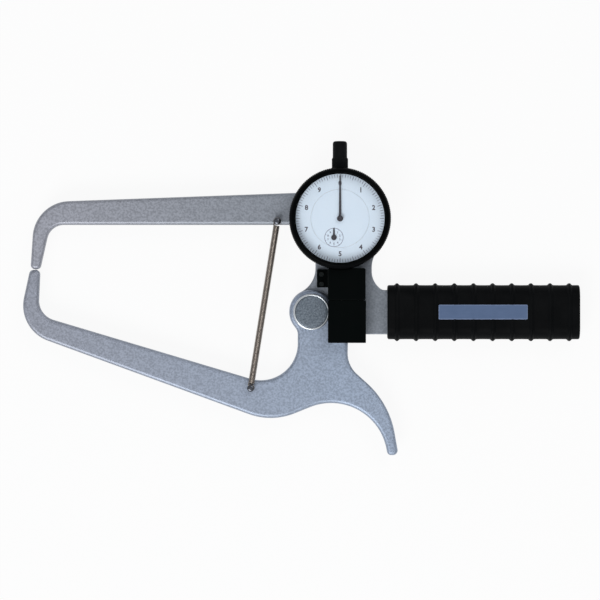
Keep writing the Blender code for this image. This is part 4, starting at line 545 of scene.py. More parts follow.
def lathe(profile, centre=PIVOT, steps=96, wave=None):
    """Turn (radius, z) points about Z; wave(i, k) shifts the radius at point k of ring i."""
    bm = bmesh.new()
    rings = []
    for i, (radius, z) in enumerate(profile):
        if radius == 0:
            rings.append([bm.verts.new((*centre, z))])
            continue
        ring = []
        for k in range(steps):
            turn = math.tau * k / steps
            reach = radius + (wave(i, k) if wave else 0.0)
            x, y = centre[0] + reach * math.sin(turn), centre[1] + reach * math.cos(turn)
            ring.append(bm.verts.new((x, y, z)))
        rings.append(ring)
    if profile[0] == profile[-1]:
        bmesh.ops.delete(bm, geom=rings.pop(), context="VERTS")
        rings.append(rings[0])
    for below, above in zip(rings, rings[1:]):
        for k in range(steps):
            n = (k + 1) % steps
            corners = [below[k % len(below)], below[n % len(below)],
                       above[n % len(above)], above[k % len(above)]]
            bm.faces.new(list(dict.fromkeys(corners)))
    return bm


def stood(bm, matrix):
    """The bmesh moved by a matrix."""
    bmesh.ops.transform(bm, matrix=matrix, verts=bm.verts)
    return bm


def along_y(bm, x, z):
    """Lay a turned piece over, so that its axis runs up the picture through x and z."""
    return stood(bm, Matrix.Translation((x, 0, z)) @ Matrix.Rotation(-math.pi / 2, 4, "X"))


def tube(path, radius, sides=8):
    """A round wire along a path of points."""
    bm = bmesh.new()
    rings = []
    across = Vector((0, 0, 1))
    for i, point in enumerate(path):
        along = (path[min(i + 1, len(path) - 1)] - path[max(i - 1, 0)]).normalized()
        across = (across - along * across.dot(along)).normalized()
        side = along.cross(across)
        rings.append([
            bm.verts.new(point + (across * math.cos(t) + side * math.sin(t)) * radius)
            for t in (math.tau * k / sides for k in range(sides))
        ])
    for below, above in zip(rings, rings[1:]):
        join_rings(bm, below, above)
    bm.faces.new(reversed(rings[0]))
    bm.faces.new(rings[-1])
    return bm


def merge(*pieces):
    """One bmesh that holds several, uncut."""
    whole = bmesh.new()
    for bm in pieces:
        part = bpy.data.meshes.new("part")
        bm.to_mesh(part)
        bm.free()
        whole.from_mesh(part)
        bpy.data.meshes.remove(part)
    return whole


def corner_points(*corners):
    return [Vector(c) for c in corners]


def box_cutter(outline, back, front):
    """A square-edged cutter through plain (x, y) corners."""
    return prism(corner_points(*outline), back, front)


def cylinder_cutter(centre, radius, back, front, steps=128):
    return lathe([(0, back), (radius, back), (radius, front), (0, front)], centre, steps)


def rounded_box(left, foot, right, top, radius):
    corners = ((left, foot), (right, foot), (right, top), (left, top))
    return rounded_outline([(x, y, radius) for x, y in corners])


# Arms; each corner is (x, y, radius)

FRAME_OUTLINE = [
    (-149.2, 23.55, 2.3), (-143.7, 47.9, 9.3), (2.2, 47.9, 8), (2.2, 15.3, 14.6),
    (-12.2, 7.6, 12.2), (-12.2, -12.3, 12.2), (43.75, -12.3, 0), (43.75, -8.1, 0),
    (142.5, -8.1, 3), (142.5, 7.9, 3), (43.75, 7.9, 0), (43.75, 12.1, 0), (38.85, 12.1, 4),
    (33.2, 16.8, 12), (33.2, 29.7, 15.6), (38, 35.9, 3), (38, 67.2, 18), (-152.1, 60.3, 20.6),
    (-154.5, 23.55, 2.3),
]
MOVING_OUTLINE = [
    (-149.2, 23.15, 2.4), (-154.8, 23.15, 2.4), (-161.9, -9.6, 20.6), (-21.8, -60.8, 35.1),
    (34.35, -38.2, 31), (41.9, -78.7, 2.2), (47.9, -78.7, 2.6), (42.8, -50.1, 48.2),
    (19.75, -29.4, 15.6), (20.3, -7.5, 3), (12.2, -3.5, 3), (12.2, 12.2, 12.2),
    (-12.2, 12.2, 12.2), (-12.2, -3.86, 12.2), (-7.54, -10.5, 6), (-7.54, -44.5, 20.3),
    (-150.3, -1.85, 11.1),
]
THICK_CUT = [(-5, 90), (-5, 30), (-20, 30), (-20, -30), (170, -30), (170, 90)]
THIN_CUT = [(-11, 90), (-11, 30), (-20, 30), (-170, 10), (-170, 90)]
SWING_ROOM = [(-13.0, 14.0, 0), (-13.0, -7.51, 13.0), (41.5, -38.97, 0), (41.5, 14.0, 0)]
ARM_FILLETS = (1.0, 1.7)
LAP_FILLETS = (1.0, 0.5)
BELOW, ABOVE = -2, 9
CASE_CLEARANCE = 26.5
HEAD_SEAT, HEAD_SEAT_TOP, PIVOT_HOLE = 6.1, 1.05, 4.1

frame_points = rounded_outline(FRAME_OUTLINE)
thick = cut_away(slab(frame_points, 0, ARM_TOP, *ARM_FILLETS), [
    box_cutter(THICK_CUT, BELOW, ABOVE),
    cylinder_cutter(DIAL_CENTRE, CASE_CLEARANCE, BELOW, ABOVE),
])
thin = cut_away(slab(frame_points, 0, LAP_TOP, *LAP_FILLETS), [
    box_cutter(THIN_CUT, BELOW, ABOVE),
])
pivot_seat = [
    cylinder_cutter(PIVOT, HEAD_SEAT, -1, HEAD_SEAT_TOP),
    cylinder_cutter(PIVOT, PIVOT_HOLE, -1, 5),
]
fixed_arm = add_piece("fixed_arm_plate", cut_away(fused(thick, thin), pivot_seat), FIXED_METAL,
                      "frame", 40)
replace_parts(fixed_arm, "frame_plate")

swinging = cut_away(slab(rounded_outline(MOVING_OUTLINE), 0, ARM_TOP, *ARM_FILLETS), [
    prism(rounded_outline(SWING_ROOM), BELOW, LAP_BACK),
])
moving_arm = add_piece("moving_arm_plate", swinging, MOVING_METAL, "arm", 40)
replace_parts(moving_arm, "moving_arm")

# Pivot cap, a turned profile of (radius, z)

PIVOT_CAP_PROFILE = [
    (0, 8.6), (4.2, 8.6), (4.2, 6.2), (9.55, 6.2), (9.98, 6.6), (9.98, 8.75), (9.93, 9.1),
    (9.75, 9.38), (9.5, 9.54), (9.25, 9.58), (9.0, 9.5), (8.85, 9.32), (8.78, 9.1), (8.7, 9.05),
    (8.55, 9.12), (8.3, 9.2), (2.6, 9.22), (2.5, 9.16), (2.4, 9.22), (0, 9.22),
]
pivot_cap = add_piece("pivot_cap_turned", lathe(PIVOT_CAP_PROFILE, PIVOT, 128), CAP_STEEL,
                      "arm", 28)
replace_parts(pivot_cap, "pivot_cap")

# Return spring

WIRE = 0.62
WIRE_GAP = 0.05
COIL = 3.7
COIL_POINTS = 10
COIL_INSET = 2.5
SPRING_LEVEL = 8.3
EYE = 1.3 + WIRE / 2 + 0.2
EYE_POINTS = 20
EYE_SWEEP = 250
UPPER_EYE_START, LOWER_EYE_START = 55, 235
NECK = (1.9, 2.3)


def spring_axes():
    """The upper pin, the directions along and across the spring, and its length."""
    upper = Vector((*UPPER_PIN, SPRING_LEVEL))
    lower = Vector((*LOWER_PIN, SPRING_LEVEL))
    along = (lower - upper).normalized()
    return upper, along, Vector((-along.y, along.x, 0)), (lower - upper).length


def spring_path():
    """An eye round the upper pin, the close-wound body, and an eye round the lower pin."""
    upper, along, across, length = spring_axes()
    coil = (COIL - WIRE) / 2
    last = EYE_POINTS - 1
    local = []
    for k in range(EYE_POINTS):
        turn = math.radians(UPPER_EYE_START + EYE_SWEEP * k / last)
        local.append((EYE * math.cos(turn), EYE * math.sin(turn), 0))
    local += [(reach, -coil, 0) for reach in NECK]
    start, end = COIL_INSET, length - COIL_INSET
    points = round((end - start) / (WIRE + WIRE_GAP)) * COIL_POINTS
    for k in range(points + 1):
        turn = math.tau * k / COIL_POINTS
        local.append((start + (end - start) * k / points,
                      -coil * math.cos(turn), coil * math.sin(turn)))
    local += [(length - reach, -coil, 0) for reach in reversed(NECK)]
    for k in range(EYE_POINTS):
        turn = math.radians(LOWER_EYE_START - EYE_SWEEP * k / last)
        local.append((length - 0.2 + EYE * math.cos(turn), EYE * math.sin(turn), 0))
    return [upper + along * x + across * y + Vector((0, 0, z)) for x, y, z in local]


spring = add_piece("return_spring_wire", tube(spring_path(), WIRE / 2, 8), SPRING_STEEL,
                   None, 50)
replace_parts(spring, "tension_spring", "spring_lower_hook")
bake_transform(spring)

# Bezel, crystal and dial

BEZEL_PROFILE = [
    (26.15, 16.0), (27.4, 16.0), (27.87, 16.4), (27.87, 20.9), (27.52, 21.35), (27.52, 21.7),
    (27.42, 22.3), (27.02, 23.05), (26.4, 23.65), (25.8, 23.93), (25.2, 23.95), (24.8, 23.8),
    (24.5, 23.5), (24.22, 22.82), (24.9, 22.8), (24.92, 21.2), (24.62, 21.2), (24.62, 18.5),
    (24.92, 18.5), (24.92, 17.2), (26.15, 17.2), (26.15, 16.0),
]
KNURLS = 160
KNURL_DEPTH = 0.22
KNURLED_RINGS = (2, 3)
CRYSTAL_PROFILE = [
    (0, 21.4), (24.65, 21.4), (24.7, 21.6), (24.7, 22.2), (24.4, 22.45), (20, 22.56), (12, 22.6),
    (0, 22.6),
]
DIAL_BACK, DIAL_FACE = 17.6, 18.3
OUTER_DIAL_PROFILE = [
    (15.98, DIAL_BACK), (24.7, DIAL_BACK), (24.7, DIAL_FACE), (16.05, DIAL_FACE),
    (15.98, DIAL_FACE - 0.07), (15.98, DIAL_BACK),
]
MIDDLE_DIAL_PROFILE = [
    (0, DIAL_BACK), (15.9, DIAL_BACK), (15.9, DIAL_FACE - 0.05), (15.85, DIAL_FACE),
    (0, DIAL_FACE),
]


def coin_edge(i, k):
    """Fine grooves along the bezel's skirt."""
    return -KNURL_DEPTH if i in KNURLED_RINGS and k % 3 == 0 else 0.0


bezel = add_piece("bezel_turned", lathe(BEZEL_PROFILE, DIAL_CENTRE, KNURLS * 3, coin_edge),
                  BEZEL_BLACK, "bezel", 38)
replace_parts(bezel, "bezel_ring")
crystal = add_piece("crystal_domed", lathe(CRYSTAL_PROFILE, DIAL_CENTRE, 128), CRYSTAL,
                    "bezel")
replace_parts(crystal, "crystal")
outer_dial = add_piece("outer_dial_plate", lathe(OUTER_DIAL_PROFILE, DIAL_CENTRE, 180), DIAL,
                       "bezel", 60)
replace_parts(outer_dial, "dial_scale_ring")
middle_dial = add_piece("middle_dial_plate", lathe(MIDDLE_DIAL_PROFILE, DIAL_CENTRE, 180), DIAL,
                        "frame", 60)
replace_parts(middle_dial, "inner_dial")

# Print on the dial

INK_RISE = 0.02
FIGURE_CAPITAL = 0.7
TICKS = 100
TICK_END = 24.1
LONG_TICK, MIDDLE_TICK, SHORT_TICK = 21.5, 21.9, 22.4
WIDE_TICK, FINE_TICK = 0.32, 0.24
FIGURE_RADIUS, FIGURE_HEIGHT, FIGURE_WEIGHT = 19.3, 2.75, 0.09
SMALL_RADIUS, SMALL_HEIGHT, SMALL_WEIGHT = 3.4, 1.1, 0.04
COUNTER_RING, COUNTER_RING_WIDTH = 5.06, 0.3
COUNTER_TICK, COUNTER_TICK_END, COUNTER_TICK_WIDTH = 4.25, 4.95, 0.2


def clock_point(centre, turn, reach, z):
    """A point at a clockwise turn from twelve o'clock."""
    return Vector((centre[0] + reach * math.sin(turn), centre[1] + reach * math.cos(turn), z))


def scale_mark(bm, centre, turn, inner, outer, width, z):
    """One printed stroke that points at the centre."""
    side = Vector((math.cos(turn), -math.sin(turn), 0)) * width / 2
    low, high = clock_point(centre, turn, inner, z), clock_point(centre, turn, outer, z)
    corners = [low - side, low + side, high + side, high - side]
    base = [bm.verts.new(c) for c in corners]
    top = [bm.verts.new(c + Vector((0, 0, INK_RISE))) for c in corners]
    bm.faces.new(reversed(base))
    bm.faces.new(top)
    join_rings(bm, base, top)


def print_ring(bm, centre, radius, width, z, steps=120):
    """A thin printed circle."""
    inner, outer = radius - width / 2, radius + width / 2
    section = ((inner, z), (outer, z), (outer, z + INK_RISE), (inner, z + INK_RISE))
    rings = []
    for reach, level in section:
        points = (clock_point(centre, math.tau * k / steps, reach, level) for k in range(steps))
        rings.append([bm.verts.new(point) for point in points])
    for below, above in zip(rings, rings[1:] + rings[:1]):
        join_rings(bm, below, above)


def numeral(bm, text, place, height, weight, z):
    """A printed figure, centred on its place."""
    curve = bpy.data.curves.new("figure", "FONT")
    curve.body = text
    curve.size = 1.0
    curve.offset = weight / height
    curve.extrude = INK_RISE / 2 * FIGURE_CAPITAL / height
    curve.resolution_u = 4
    thing = bpy.data.objects.new("figure", curve)
    bpy.context.collection.objects.link(thing)
    flat = evaluated(thing).to_mesh()
    xs = [v.co.x for v in flat.vertices]
    ys = [v.co.y for v in flat.vertices]
    middle = Vector(((min(xs) + max(xs)) / 2, (min(ys) + max(ys)) / 2, 0))
    size = height / (max(ys) - min(ys))
    figure = bmesh.new()
    figure.from_mesh(flat)
    bmesh.ops.remove_doubles(figure, verts=figure.verts, dist=1e-5)
    stood(figure, Matrix.Translation((place[0], place[1], z + INK_RISE / 2))
          @ Matrix.Scale(size, 4) @ Matrix.Translation(-middle))
    bpy.data.objects.remove(thing, do_unlink=True)
    part = bpy.data.meshes.new("figure")
    figure.to_mesh(part)
    figure.free()
    bm.from_mesh(part)
    bpy.data.meshes.remove(part)


def figure_ring(centre, radius, height, weight):
    """The figures 0 to 9 round a centre."""
    figures = bmesh.new()
    for k in range(10):
        place = clock_point(centre, math.tau * k / 10, radius, 0)
        numeral(figures, str(k), place, height, weight, DIAL_FACE)
    return figures


strokes = bmesh.new()
for k in range(TICKS):
    inner = LONG_TICK if k % 10 == 0 else MIDDLE_TICK if k % 5 == 0 else SHORT_TICK
    scale_mark(strokes, DIAL_CENTRE, math.tau * k / TICKS, inner, TICK_END,
               FINE_TICK if k % 5 else WIDE_TICK, DIAL_FACE)
add_piece("scale_strokes", strokes, SCALE_INK, "bezel")
add_piece("scale_figures", figure_ring(DIAL_CENTRE, FIGURE_RADIUS, FIGURE_HEIGHT, FIGURE_WEIGHT),
          INK, "bezel")

small = bmesh.new()
print_ring(small, COUNTER, COUNTER_RING, COUNTER_RING_WIDTH, DIAL_FACE)
for k in range(10):
    scale_mark(small, COUNTER, math.tau * k / 10, COUNTER_TICK, COUNTER_TICK_END,
               COUNTER_TICK_WIDTH, DIAL_FACE)
add_piece("counter_scale", small, FAINT_INK, "frame")
add_piece("counter_figures", figure_ring(COUNTER, SMALL_RADIUS, SMALL_HEIGHT, SMALL_WEIGHT),
          SCALE_INK, "frame")


def hand_piece(name, centre, length, root, tip, hub, back, blade_top, hub_top, body, replaced):
    """A tapered blade with bevelled edges on a turned hub."""
    x, y = centre
    end, point = y + length, y + length + tip * 0.5
    outline = corner_points((x - root / 2, y), (x + root / 2, y), (x + tip / 2, end),
                            (x + tip * 0.2, point), (x - tip * 0.2, point), (x - tip / 2, end))
    blade = slab(outline, back, blade_top, 0.02, 0.05, 2)
    boss = lathe([(0, back - 0.05), (hub * 0.95, back - 0.05), (hub, back + 0.05),
                  (hub, hub_top - 0.12), (hub - 0.1, hub_top), (hub * 0.4, hub_top),
                  (hub * 0.38, hub_top - 0.05), (0, hub_top - 0.05)], centre, 48)
    piece = add_piece(name, merge(blade, boss), HAND, body, 30)
    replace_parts(piece, replaced)


hand_piece("pointer_blade", DIAL_CENTRE, 23.1, 1.4, 0.75, 1.7, 19.25, 19.5, 20.28,
           "pointer", "pointer")
hand_piece("counter_blade", COUNTER, 4.9, 1.3, 0.7, 1.5, 18.55, 18.75, 19.1,
           "counter", "counter_hand")

# Spindle cap, clamp, cover and gauge case

BEZEL_RADIUS = 27.87
CASE_RADIUS = 25.95
CASE_GAP = 0.4
CAP_FOOT = 79.42
CAP_TOP = 93.72
CAP_STEP = CAP_FOOT + 5.25
CAP_BORE, CAP_WIDE_BORE = 2.5, 3.6
CAP_BORE_STEP = CAP_FOOT + 4.9
GRIP_DEPTH = 0.16
GRIP_RINGS = (6, 7)
STEM_CAP_PROFILE = [
    (0, CAP_TOP - 2.4), (CAP_BORE, CAP_TOP - 2.4), (CAP_BORE, CAP_BORE_STEP),
    (CAP_WIDE_BORE, CAP_BORE_STEP), (CAP_WIDE_BORE, CAP_FOOT - 0.9), (4.3, CAP_FOOT - 0.9),
    (4.45, CAP_FOOT - 0.7), (4.45, CAP_FOOT + 4.5), (4.3, CAP_FOOT + 4.8), (3.95, CAP_STEP),
    (3.92, CAP_TOP - 1.5), (3.8, CAP_TOP - 0.85), (3.45, CAP_TOP - 0.35),
    (2.9, CAP_TOP - 0.08), (2.3, CAP_TOP), (0, CAP_TOP),
]


def cap_grip(i, k):
    """Straight knurls round the cap's wide foot."""
    return -GRIP_DEPTH if i in GRIP_RINGS and k % 3 == 0 else 0.0


stem_cap = add_piece("stem_cap_knurled", along_y(
    lathe(STEM_CAP_PROFILE, steps=108, wave=cap_grip), SPINDLE_X, SPINDLE_Z), CAP_PLASTIC,
    "frame", 30)
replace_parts(stem_cap, "stem_cap")

BLOCK_LEFT, BLOCK_RIGHT = 9.03, 29.58
BLOCK_FOOT, BLOCK_TOP = 6.5, 24.05
BLOCK_SEAT, BLOCK_FRONT = 2.7, 18.0
SEAT_Y = 13.4
OVER_ARM = 6.4
BEZEL_BACK, BEZEL_ROOM_TOP = 15.6, 20.0
FLANGE_LEFT, FLANGE_FOOT, FLANGE_TOP, FLANGE_FACE = 2.98, 13.5, 23.4, 5.1
COVER_RIGHT, COVER_FOOT, COVER_TOP = 29.78, -16.9, 6.46
COVER_WALL = 1.5
COVER_LEFT_INSIDE, COVER_RIGHT_INSIDE = BLOCK_LEFT + COVER_WALL, COVER_RIGHT - COVER_WALL
COVER_LIP = 3.8
CAP_ROOM, CAP_ROOM_TOP = 10.4, 10.2
COVER_SCREW_X, COVER_SCREW_Y = 29.3, 3.75
COVER_SCREWS_Z = (10.4, 14.0)
COUNTERBORE = 1.6
FORWARD = Matrix.Identity(4)
TO_BACK = Matrix.Rotation(math.pi, 4, "X")
TO_RIGHT = Matrix.Rotation(math.pi / 2, 4, "Y")

block = cut_away(slab(rounded_box(BLOCK_LEFT, BLOCK_FOOT, BLOCK_RIGHT, BLOCK_TOP, 0.8),
                      BLOCK_SEAT, BLOCK_FRONT, 0.3, 0.5, 4), [
    prism(corner_points((0, 0), (40, 0), (40, SEAT_Y), (0, SEAT_Y)), 0, OVER_ARM),
    cylinder_cutter(DIAL_CENTRE, BEZEL_RADIUS + CASE_GAP, BEZEL_BACK, BEZEL_ROOM_TOP),
    cylinder_cutter(DIAL_CENTRE, CASE_RADIUS + CASE_GAP, 0.0, BEZEL_ROOM_TOP),
])
flange = slab(rounded_box(FLANGE_LEFT, FLANGE_FOOT, BLOCK_LEFT + 0.8, FLANGE_TOP, 0.5),
              BLOCK_SEAT, FLANGE_FACE, 0.2, 0.35, 3)
clamp_block = add_piece("clamp_block", fused(block, flange), ENAMEL, "frame", 35)
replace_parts(clamp_block, "stem_clamp")


def cover_hollow(foot, top, front):
    """A cutter between the cover's side walls."""
    return prism(corner_points((COVER_LEFT_INSIDE, foot), (COVER_RIGHT_INSIDE, foot),
                               (COVER_RIGHT_INSIDE, top), (COVER_LEFT_INSIDE, top)), 4, front)


def counterbore(z):
    """A round seat for a screw in the cover's right side."""
    hole = cylinder_cutter((0, 0), COUNTERBORE, 0, 2, 40)
    return stood(hole, Matrix.Translation((COVER_SCREW_X, COVER_SCREW_Y, z)) @ TO_RIGHT)


hood = cut_away(slab(rounded_box(BLOCK_LEFT, COVER_FOOT, COVER_RIGHT, COVER_TOP, 0.4),
                     OVER_ARM, BLOCK_FRONT, 0.15, 0.3, 4), [
    cover_hollow(COVER_FOOT + COVER_WALL, 9, BLOCK_FRONT - COVER_WALL),
    cover_hollow(-19, COVER_FOOT + 2 * COVER_WALL, BLOCK_FRONT - COVER_LIP),
    cylinder_cutter(PIVOT, CAP_ROOM, 4, CAP_ROOM_TOP),
    *(counterbore(z) for z in COVER_SCREWS_Z),
])
cover = add_piece("cover_hood", hood, ENAMEL, "frame", 35)
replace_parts(cover, "spindle_cover")

CASE_PROFILE = [
    (21.75, 4.6), (25.75, 4.6), (25.95, 4.8), (25.95, 15.9), (25.95, 17.0), (24.35, 17.0),
    (24.35, 5.5), (21.75, 5.5), (21.75, 4.6),
]
BACK_PROFILE = [
    (0, 3.25), (5.0, 3.25), (5.3, 3.0), (20.6, 3.0), (20.8, 3.12), (21.0, 3.0), (25.2, 3.0),
    (25.7, 3.15), (25.95, 3.5), (25.95, 4.4), (0, 4.4),
]
BACK_SCREW_REACH = 16.9
BACK_SCREW_SEAT = 3.7
BACK_SCREWS = [(SPINDLE_X + x * BACK_SCREW_REACH, DIAL_Y + y * BACK_SCREW_REACH)
               for x, y in ((1, 1), (-1, 1), (-1, -1), (1, -1))]

case = add_piece("gauge_case_turned", lathe(CASE_PROFILE, DIAL_CENTRE, 180), ENAMEL, "frame",
                 30)
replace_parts(case, "dial_case")
back_cover = add_piece("gauge_back_turned", cut_away(lathe(BACK_PROFILE, DIAL_CENTRE, 180), [
    cylinder_cutter(place, 1.5, 2.0, BACK_SCREW_SEAT, 32) for place in BACK_SCREWS
]), ENAMEL, "frame", 30)
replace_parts(back_cover, "case_back_cover")

# Pins and screws

SPRING_PIN_PROFILE = [
    (0, 0.5), (1.1, 0.5), (1.3, 0.7), (1.3, 7.7), (1.12, 7.9), (1.12, 8.8), (1.3, 9.0),
    (1.3, 10.5), (1.8, 10.6), (1.9, 10.75), (1.75, 11.02), (1.35, 11.27), (0.75, 11.38),
    (0, 11.4),
]
PIVOT_HEAD_PROFILE = [
    (0, 0.35), (1.6, 0.35), (2.0, 0.12), (5.3, 0.0), (5.7, 0.05), (5.95, 0.3), (5.95, 1.0),
    (4.0, 1.0), (4.0, 8.2), (3.8, 8.4), (0, 8.4),
]
SLOT_HALF_WIDTH, SLOT_DEPTH = 0.22, 0.42
HANDLE_MIDDLE = -0.1
HANDLE_SCREWS_X = (52.315, 94.435, 136.555)
HANDLE_SCREW_SEAT = -4.95


def pin_piece(name, place, body, replaced):
    """A spring pin: shank, groove for the hook and a domed head."""
    pin = add_piece(name, lathe(SPRING_PIN_PROFILE, place, 40), PIN_STEEL, body, 40)
    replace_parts(pin, replaced)


def screw_piece(name, place, facing, material, radius, height, shank, length):
    """A slotted cheese-head screw with a chamfered rim, in place of the plain one of its name."""
    profile = [(0, -length), (shank - 0.15, -length), (shank, -length + 0.15), (shank, 0),
               (radius - 0.08, 0), (radius, 0.08), (radius, height - 0.2),
               (radius - 0.2, height), (0, height)]
    reach, half = radius + 1, SLOT_HALF_WIDTH
    groove = prism(corner_points((-reach, -half), (reach, -half), (reach, half), (-reach, half)),
                   height - SLOT_DEPTH, height + 1)
    turn = Matrix.Rotation(math.radians(25 + 37 * (len(name) + ord(name[-1]))), 4, "Z")
    screw = stood(cut_away(lathe(profile, steps=40), [groove]),
                  Matrix.Translation(place) @ facing @ turn)
    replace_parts(add_piece(f"{name}_head", screw, material, "frame", 30), name)


pin_piece("upper_pin_turned", UPPER_PIN, "frame", "spring_pin_upper")
pin_piece("lower_pin_turned", LOWER_PIN, "arm", "spring_pin_lower")
pivot_head = add_piece("pivot_head_turned", lathe(PIVOT_HEAD_PROFILE), STEEL, "frame", 30)
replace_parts(pivot_head, "pivot_pin")

for number, y in ((1, 20.7), (2, 15.4)):
    screw_piece(f"clamp_screw_{number}", (5.58, y, 5.3), FORWARD, DARK_STEEL,
                1.4, 0.9, 0.7, 4.4)
for number, z in enumerate(COVER_SCREWS_Z, 1):
    screw_piece(f"cover_screw_{number}", (COVER_SCREW_X, COVER_SCREW_Y, z), TO_RIGHT, DARK_STEEL,
                1.4, 0.55, 0.7, 2.2)
for number, (x, y) in enumerate(BACK_SCREWS, 1):
    screw_piece(f"case_screw_{number}", (x, y, BACK_SCREW_SEAT), TO_BACK, STEEL,
                1.3, 0.7, 0.7, 1.6)
for number, x in enumerate(HANDLE_SCREWS_X, 1):
    screw_piece(f"handle_screw_{number}", (x, HANDLE_MIDDLE, HANDLE_SCREW_SEAT), TO_BACK, STEEL,
                2.1, 1.4, 1.3, 11.4)

# Handle

HANDLE_LEFT, HANDLE_RIGHT = 41.75, 147.5
HANDLE_HALF, HANDLE_DEPTH = 14.9, 8.8
HANDLE_CORNER = 6.6
HANDLE_END = 0.9
SPLIT_Z, SPLIT_GAP = 1.25, 0.1
RIB_FIRST, RIB_PITCH, RIB_COUNT = 47.05, 10.53, 10
RIB_RISE = 0.8
RIB_SIDE_GROWTH = 1.3
RIB_FLANK = ((1.75, 0.0), (1.4, 0.08), (1.1, 0.3), (0.8, 0.62), (0.45, 0.9))
BETWEEN_RIBS = -0.04
PLATE_LEFT, PLATE_RIGHT, PLATE_HALF, PLATE_FRONT = 69.75, 118.65, 4.05, 10.35
POCKET_GAP = 0.25


def handle_stations():
    """(x, growth of the section): a rounded end, ten slim ribs with soft feet, a rounded end."""
    turns = [math.pi / 2 * k / 4 for k in range(5)]
    end = [(HANDLE_END * (1 - math.cos(t)), -HANDLE_END * (1 - math.sin(t))) for t in turns]
    left = [(-reach, rise) for reach, rise in RIB_FLANK]
    rib = left + [(0, 1.0)] + list(reversed(RIB_FLANK))
    stations = [(HANDLE_LEFT + x, grow) for x, grow in end]
    for k in range(RIB_COUNT):
        middle = RIB_FIRST + RIB_PITCH * k
        stations += [(middle + reach, rise * RIB_RISE) for reach, rise in rib]
        if k < RIB_COUNT - 1:
            stations.append((middle + RIB_PITCH / 2, BETWEEN_RIBS))
    return stations + [(HANDLE_RIGHT - x, grow) for x, grow in reversed(end)]


def handle_half(side):
    """One moulded half of the grip, from the split plane outwards."""
    bm = bmesh.new()
    rings = []
    for x, grow in handle_stations():
        half, depth = HANDLE_HALF + grow * RIB_SIDE_GROWTH, HANDLE_DEPTH + grow
        section = rounded_outline([(-half, SPLIT_GAP, 0.0), (half, SPLIT_GAP, 0.0),
                                   (half, depth, HANDLE_CORNER), (-half, depth, HANDLE_CORNER)],
                                  0.9)
        places = ((x, HANDLE_MIDDLE + p.x, SPLIT_Z + side * p.y) for p in section)
        rings.append([bm.verts.new(place) for place in places])
    bm.faces.new(reversed(rings[0]))
    bm.faces.new(rings[-1])
    for one, other in zip(rings, rings[1:]):
        join_rings(bm, one, other)
    bmesh.ops.recalc_face_normals(bm, faces=bm.faces)
    return bm


pocket = prism(rounded_box(PLATE_LEFT - POCKET_GAP, -PLATE_HALF - POCKET_GAP,
                           PLATE_RIGHT + POCKET_GAP, PLATE_HALF + POCKET_GAP, 0.8),
               PLATE_FRONT - 1.2, 14)
front_shell = add_piece("handle_grip_front", cut_away(handle_half(1), [pocket]), PLASTIC,
                        "frame", 38)
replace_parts(front_shell, "handle_front_shell")
back_shell = add_piece("handle_grip_back", cut_away(handle_half(-1), [
    cylinder_cutter((x, HANDLE_MIDDLE), 2.3, -9.5, HANDLE_SCREW_SEAT, 40)
    for x in HANDLE_SCREWS_X
]), PLASTIC, "frame", 38)
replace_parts(back_shell, "handle_back_shell")
name_plate = add_piece("bare_plate", slab(
    rounded_box(PLATE_LEFT, -PLATE_HALF, PLATE_RIGHT, PLATE_HALF, 0.6),
    PLATE_FRONT - 1.0, PLATE_FRONT, 0.05, 0.25, 3), PLATE, "frame", 30)
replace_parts(name_plate, "nameplate")

# Better finishes on the solids that stay

KEPT = {
    "black_paint": ENAMEL, "black_plastic": PLASTIC, "plate": PLATE, "steel": STEEL,
    "brass": BRASS, "dial": DIAL, "hand": HAND, "crystal": CRYSTAL, "cap": CAP_STEEL,
    "fixed_arm": FIXED_METAL, "moving_arm": MOVING_METAL,
}
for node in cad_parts.values():
    for place in node.material_slots:
        slot = place.material.name.split(".")[0]
        if slot in KEPT:
            place.material = KEPT[slot]

# Floor, light and camera; lengths in millimetres, power in watts

FLOOR_Z = -8.5
FLOOR_SPAN = 8000
FLOOR_CELLS = 40
PAPER_GLOW = (0.985, 0.985, 0.985, 1.0)
PAPER_SHARE = 0.93
AIR_COLOUR = (0.95, 0.97, 1.0, 1.0)
AIR_STRENGTH = 0.5
KEY_LAMP = {"place": (-650, -1350, 1900), "size": 1400, "power": 36}
FILL_LAMP = {"place": (900, 1100, 1900), "size": 1200, "power": 9}


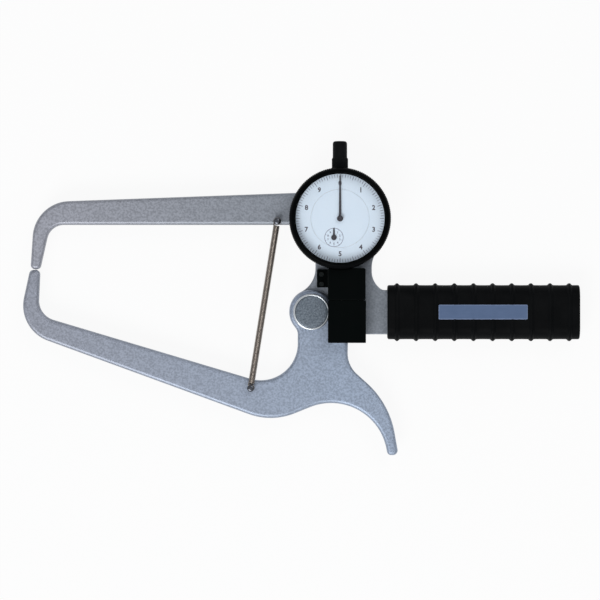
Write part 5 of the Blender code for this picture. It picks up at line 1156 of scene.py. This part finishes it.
def floor_mesh():
    """A wide square sheet of small cells."""
    bm = bmesh.new()
    places = [(k / FLOOR_CELLS - 0.5) * FLOOR_SPAN for k in range(FLOOR_CELLS + 1)]
    rows = [[bm.verts.new((x, y, FLOOR_Z)) for y in places] for x in places]
    for row, after in zip(rows, rows[1:]):
        for j in range(FLOOR_CELLS):
            bm.faces.new((row[j], after[j], after[j + 1], row[j + 1]))
    bmesh.ops.scale(bm, vec=(MM, MM, MM), verts=bm.verts)
    return bm


def white_floor():
    """A pale floor that the camera sees as nearly white, with a faint shadow left on it."""
    finish = Finish("floor_paper", Roughness=0.9, Specular_IOR_Level=0.1)
    finish.colour(finish.mix(finish.noise(400.0), linear("e9e9e9"), linear("eeeeee")))
    glow = finish.node("ShaderNodeEmission", None, {"Color": PAPER_GLOW, "Strength": 1.0})
    path = finish.node("ShaderNodeLightPath")
    rays = ("Camera", "Glossy", "Transmission")
    seen = sum(Value(finish, path.outputs[f"Is {ray} Ray"]) for ray in rays)
    mixed = finish.node("ShaderNodeMixShader", None, {
        0: seen.clipped() * PAPER_SHARE, 1: finish.shader.outputs[0], 2: glow.outputs[0],
    })
    finish.feed(finish.tree.nodes["Material Output"].inputs["Surface"], mixed.outputs[0])
    return finish.material


def soft_lamp(name, place, size, power):
    """A round lamp that points at the pivot."""
    data = bpy.data.lights.new(name, "AREA")
    data.shape = "DISK"
    data.size = size * MM
    data.energy = power
    lamp = bpy.data.objects.new(name, data)
    lamp.location = Vector(place) * MM
    lamp.rotation_euler = (-Vector(place)).to_track_quat("-Z", "Y").to_euler()
    bpy.context.collection.objects.link(lamp)


floor = made_object("floor", floor_mesh())
floor.data.materials.append(white_floor())
soft_lamp("key_lamp", **KEY_LAMP)
soft_lamp("fill_lamp", **FILL_LAMP)

world = bpy.data.worlds.new("studio_air")
world.use_nodes = True
air = world.node_tree.nodes["Background"].inputs
air["Color"].default_value = AIR_COLOUR
air["Strength"].default_value = AIR_STRENGTH
bpy.context.scene.world = world
bpy.context.scene.view_settings.view_transform = "Standard"

lens = bpy.data.cameras.new("camera")
lens.sensor_width = SENSOR
lens.lens = SENSOR * (CAMERA_HEIGHT - PHOTO_LEVEL) / PHOTO_WIDTH
lens.clip_end = 20
camera = bpy.data.objects.new("camera", lens)
camera.location = Vector((*PHOTO_CENTRE, CAMERA_HEIGHT)) * MM
bpy.context.collection.objects.link(camera)
bpy.context.scene.camera = camera
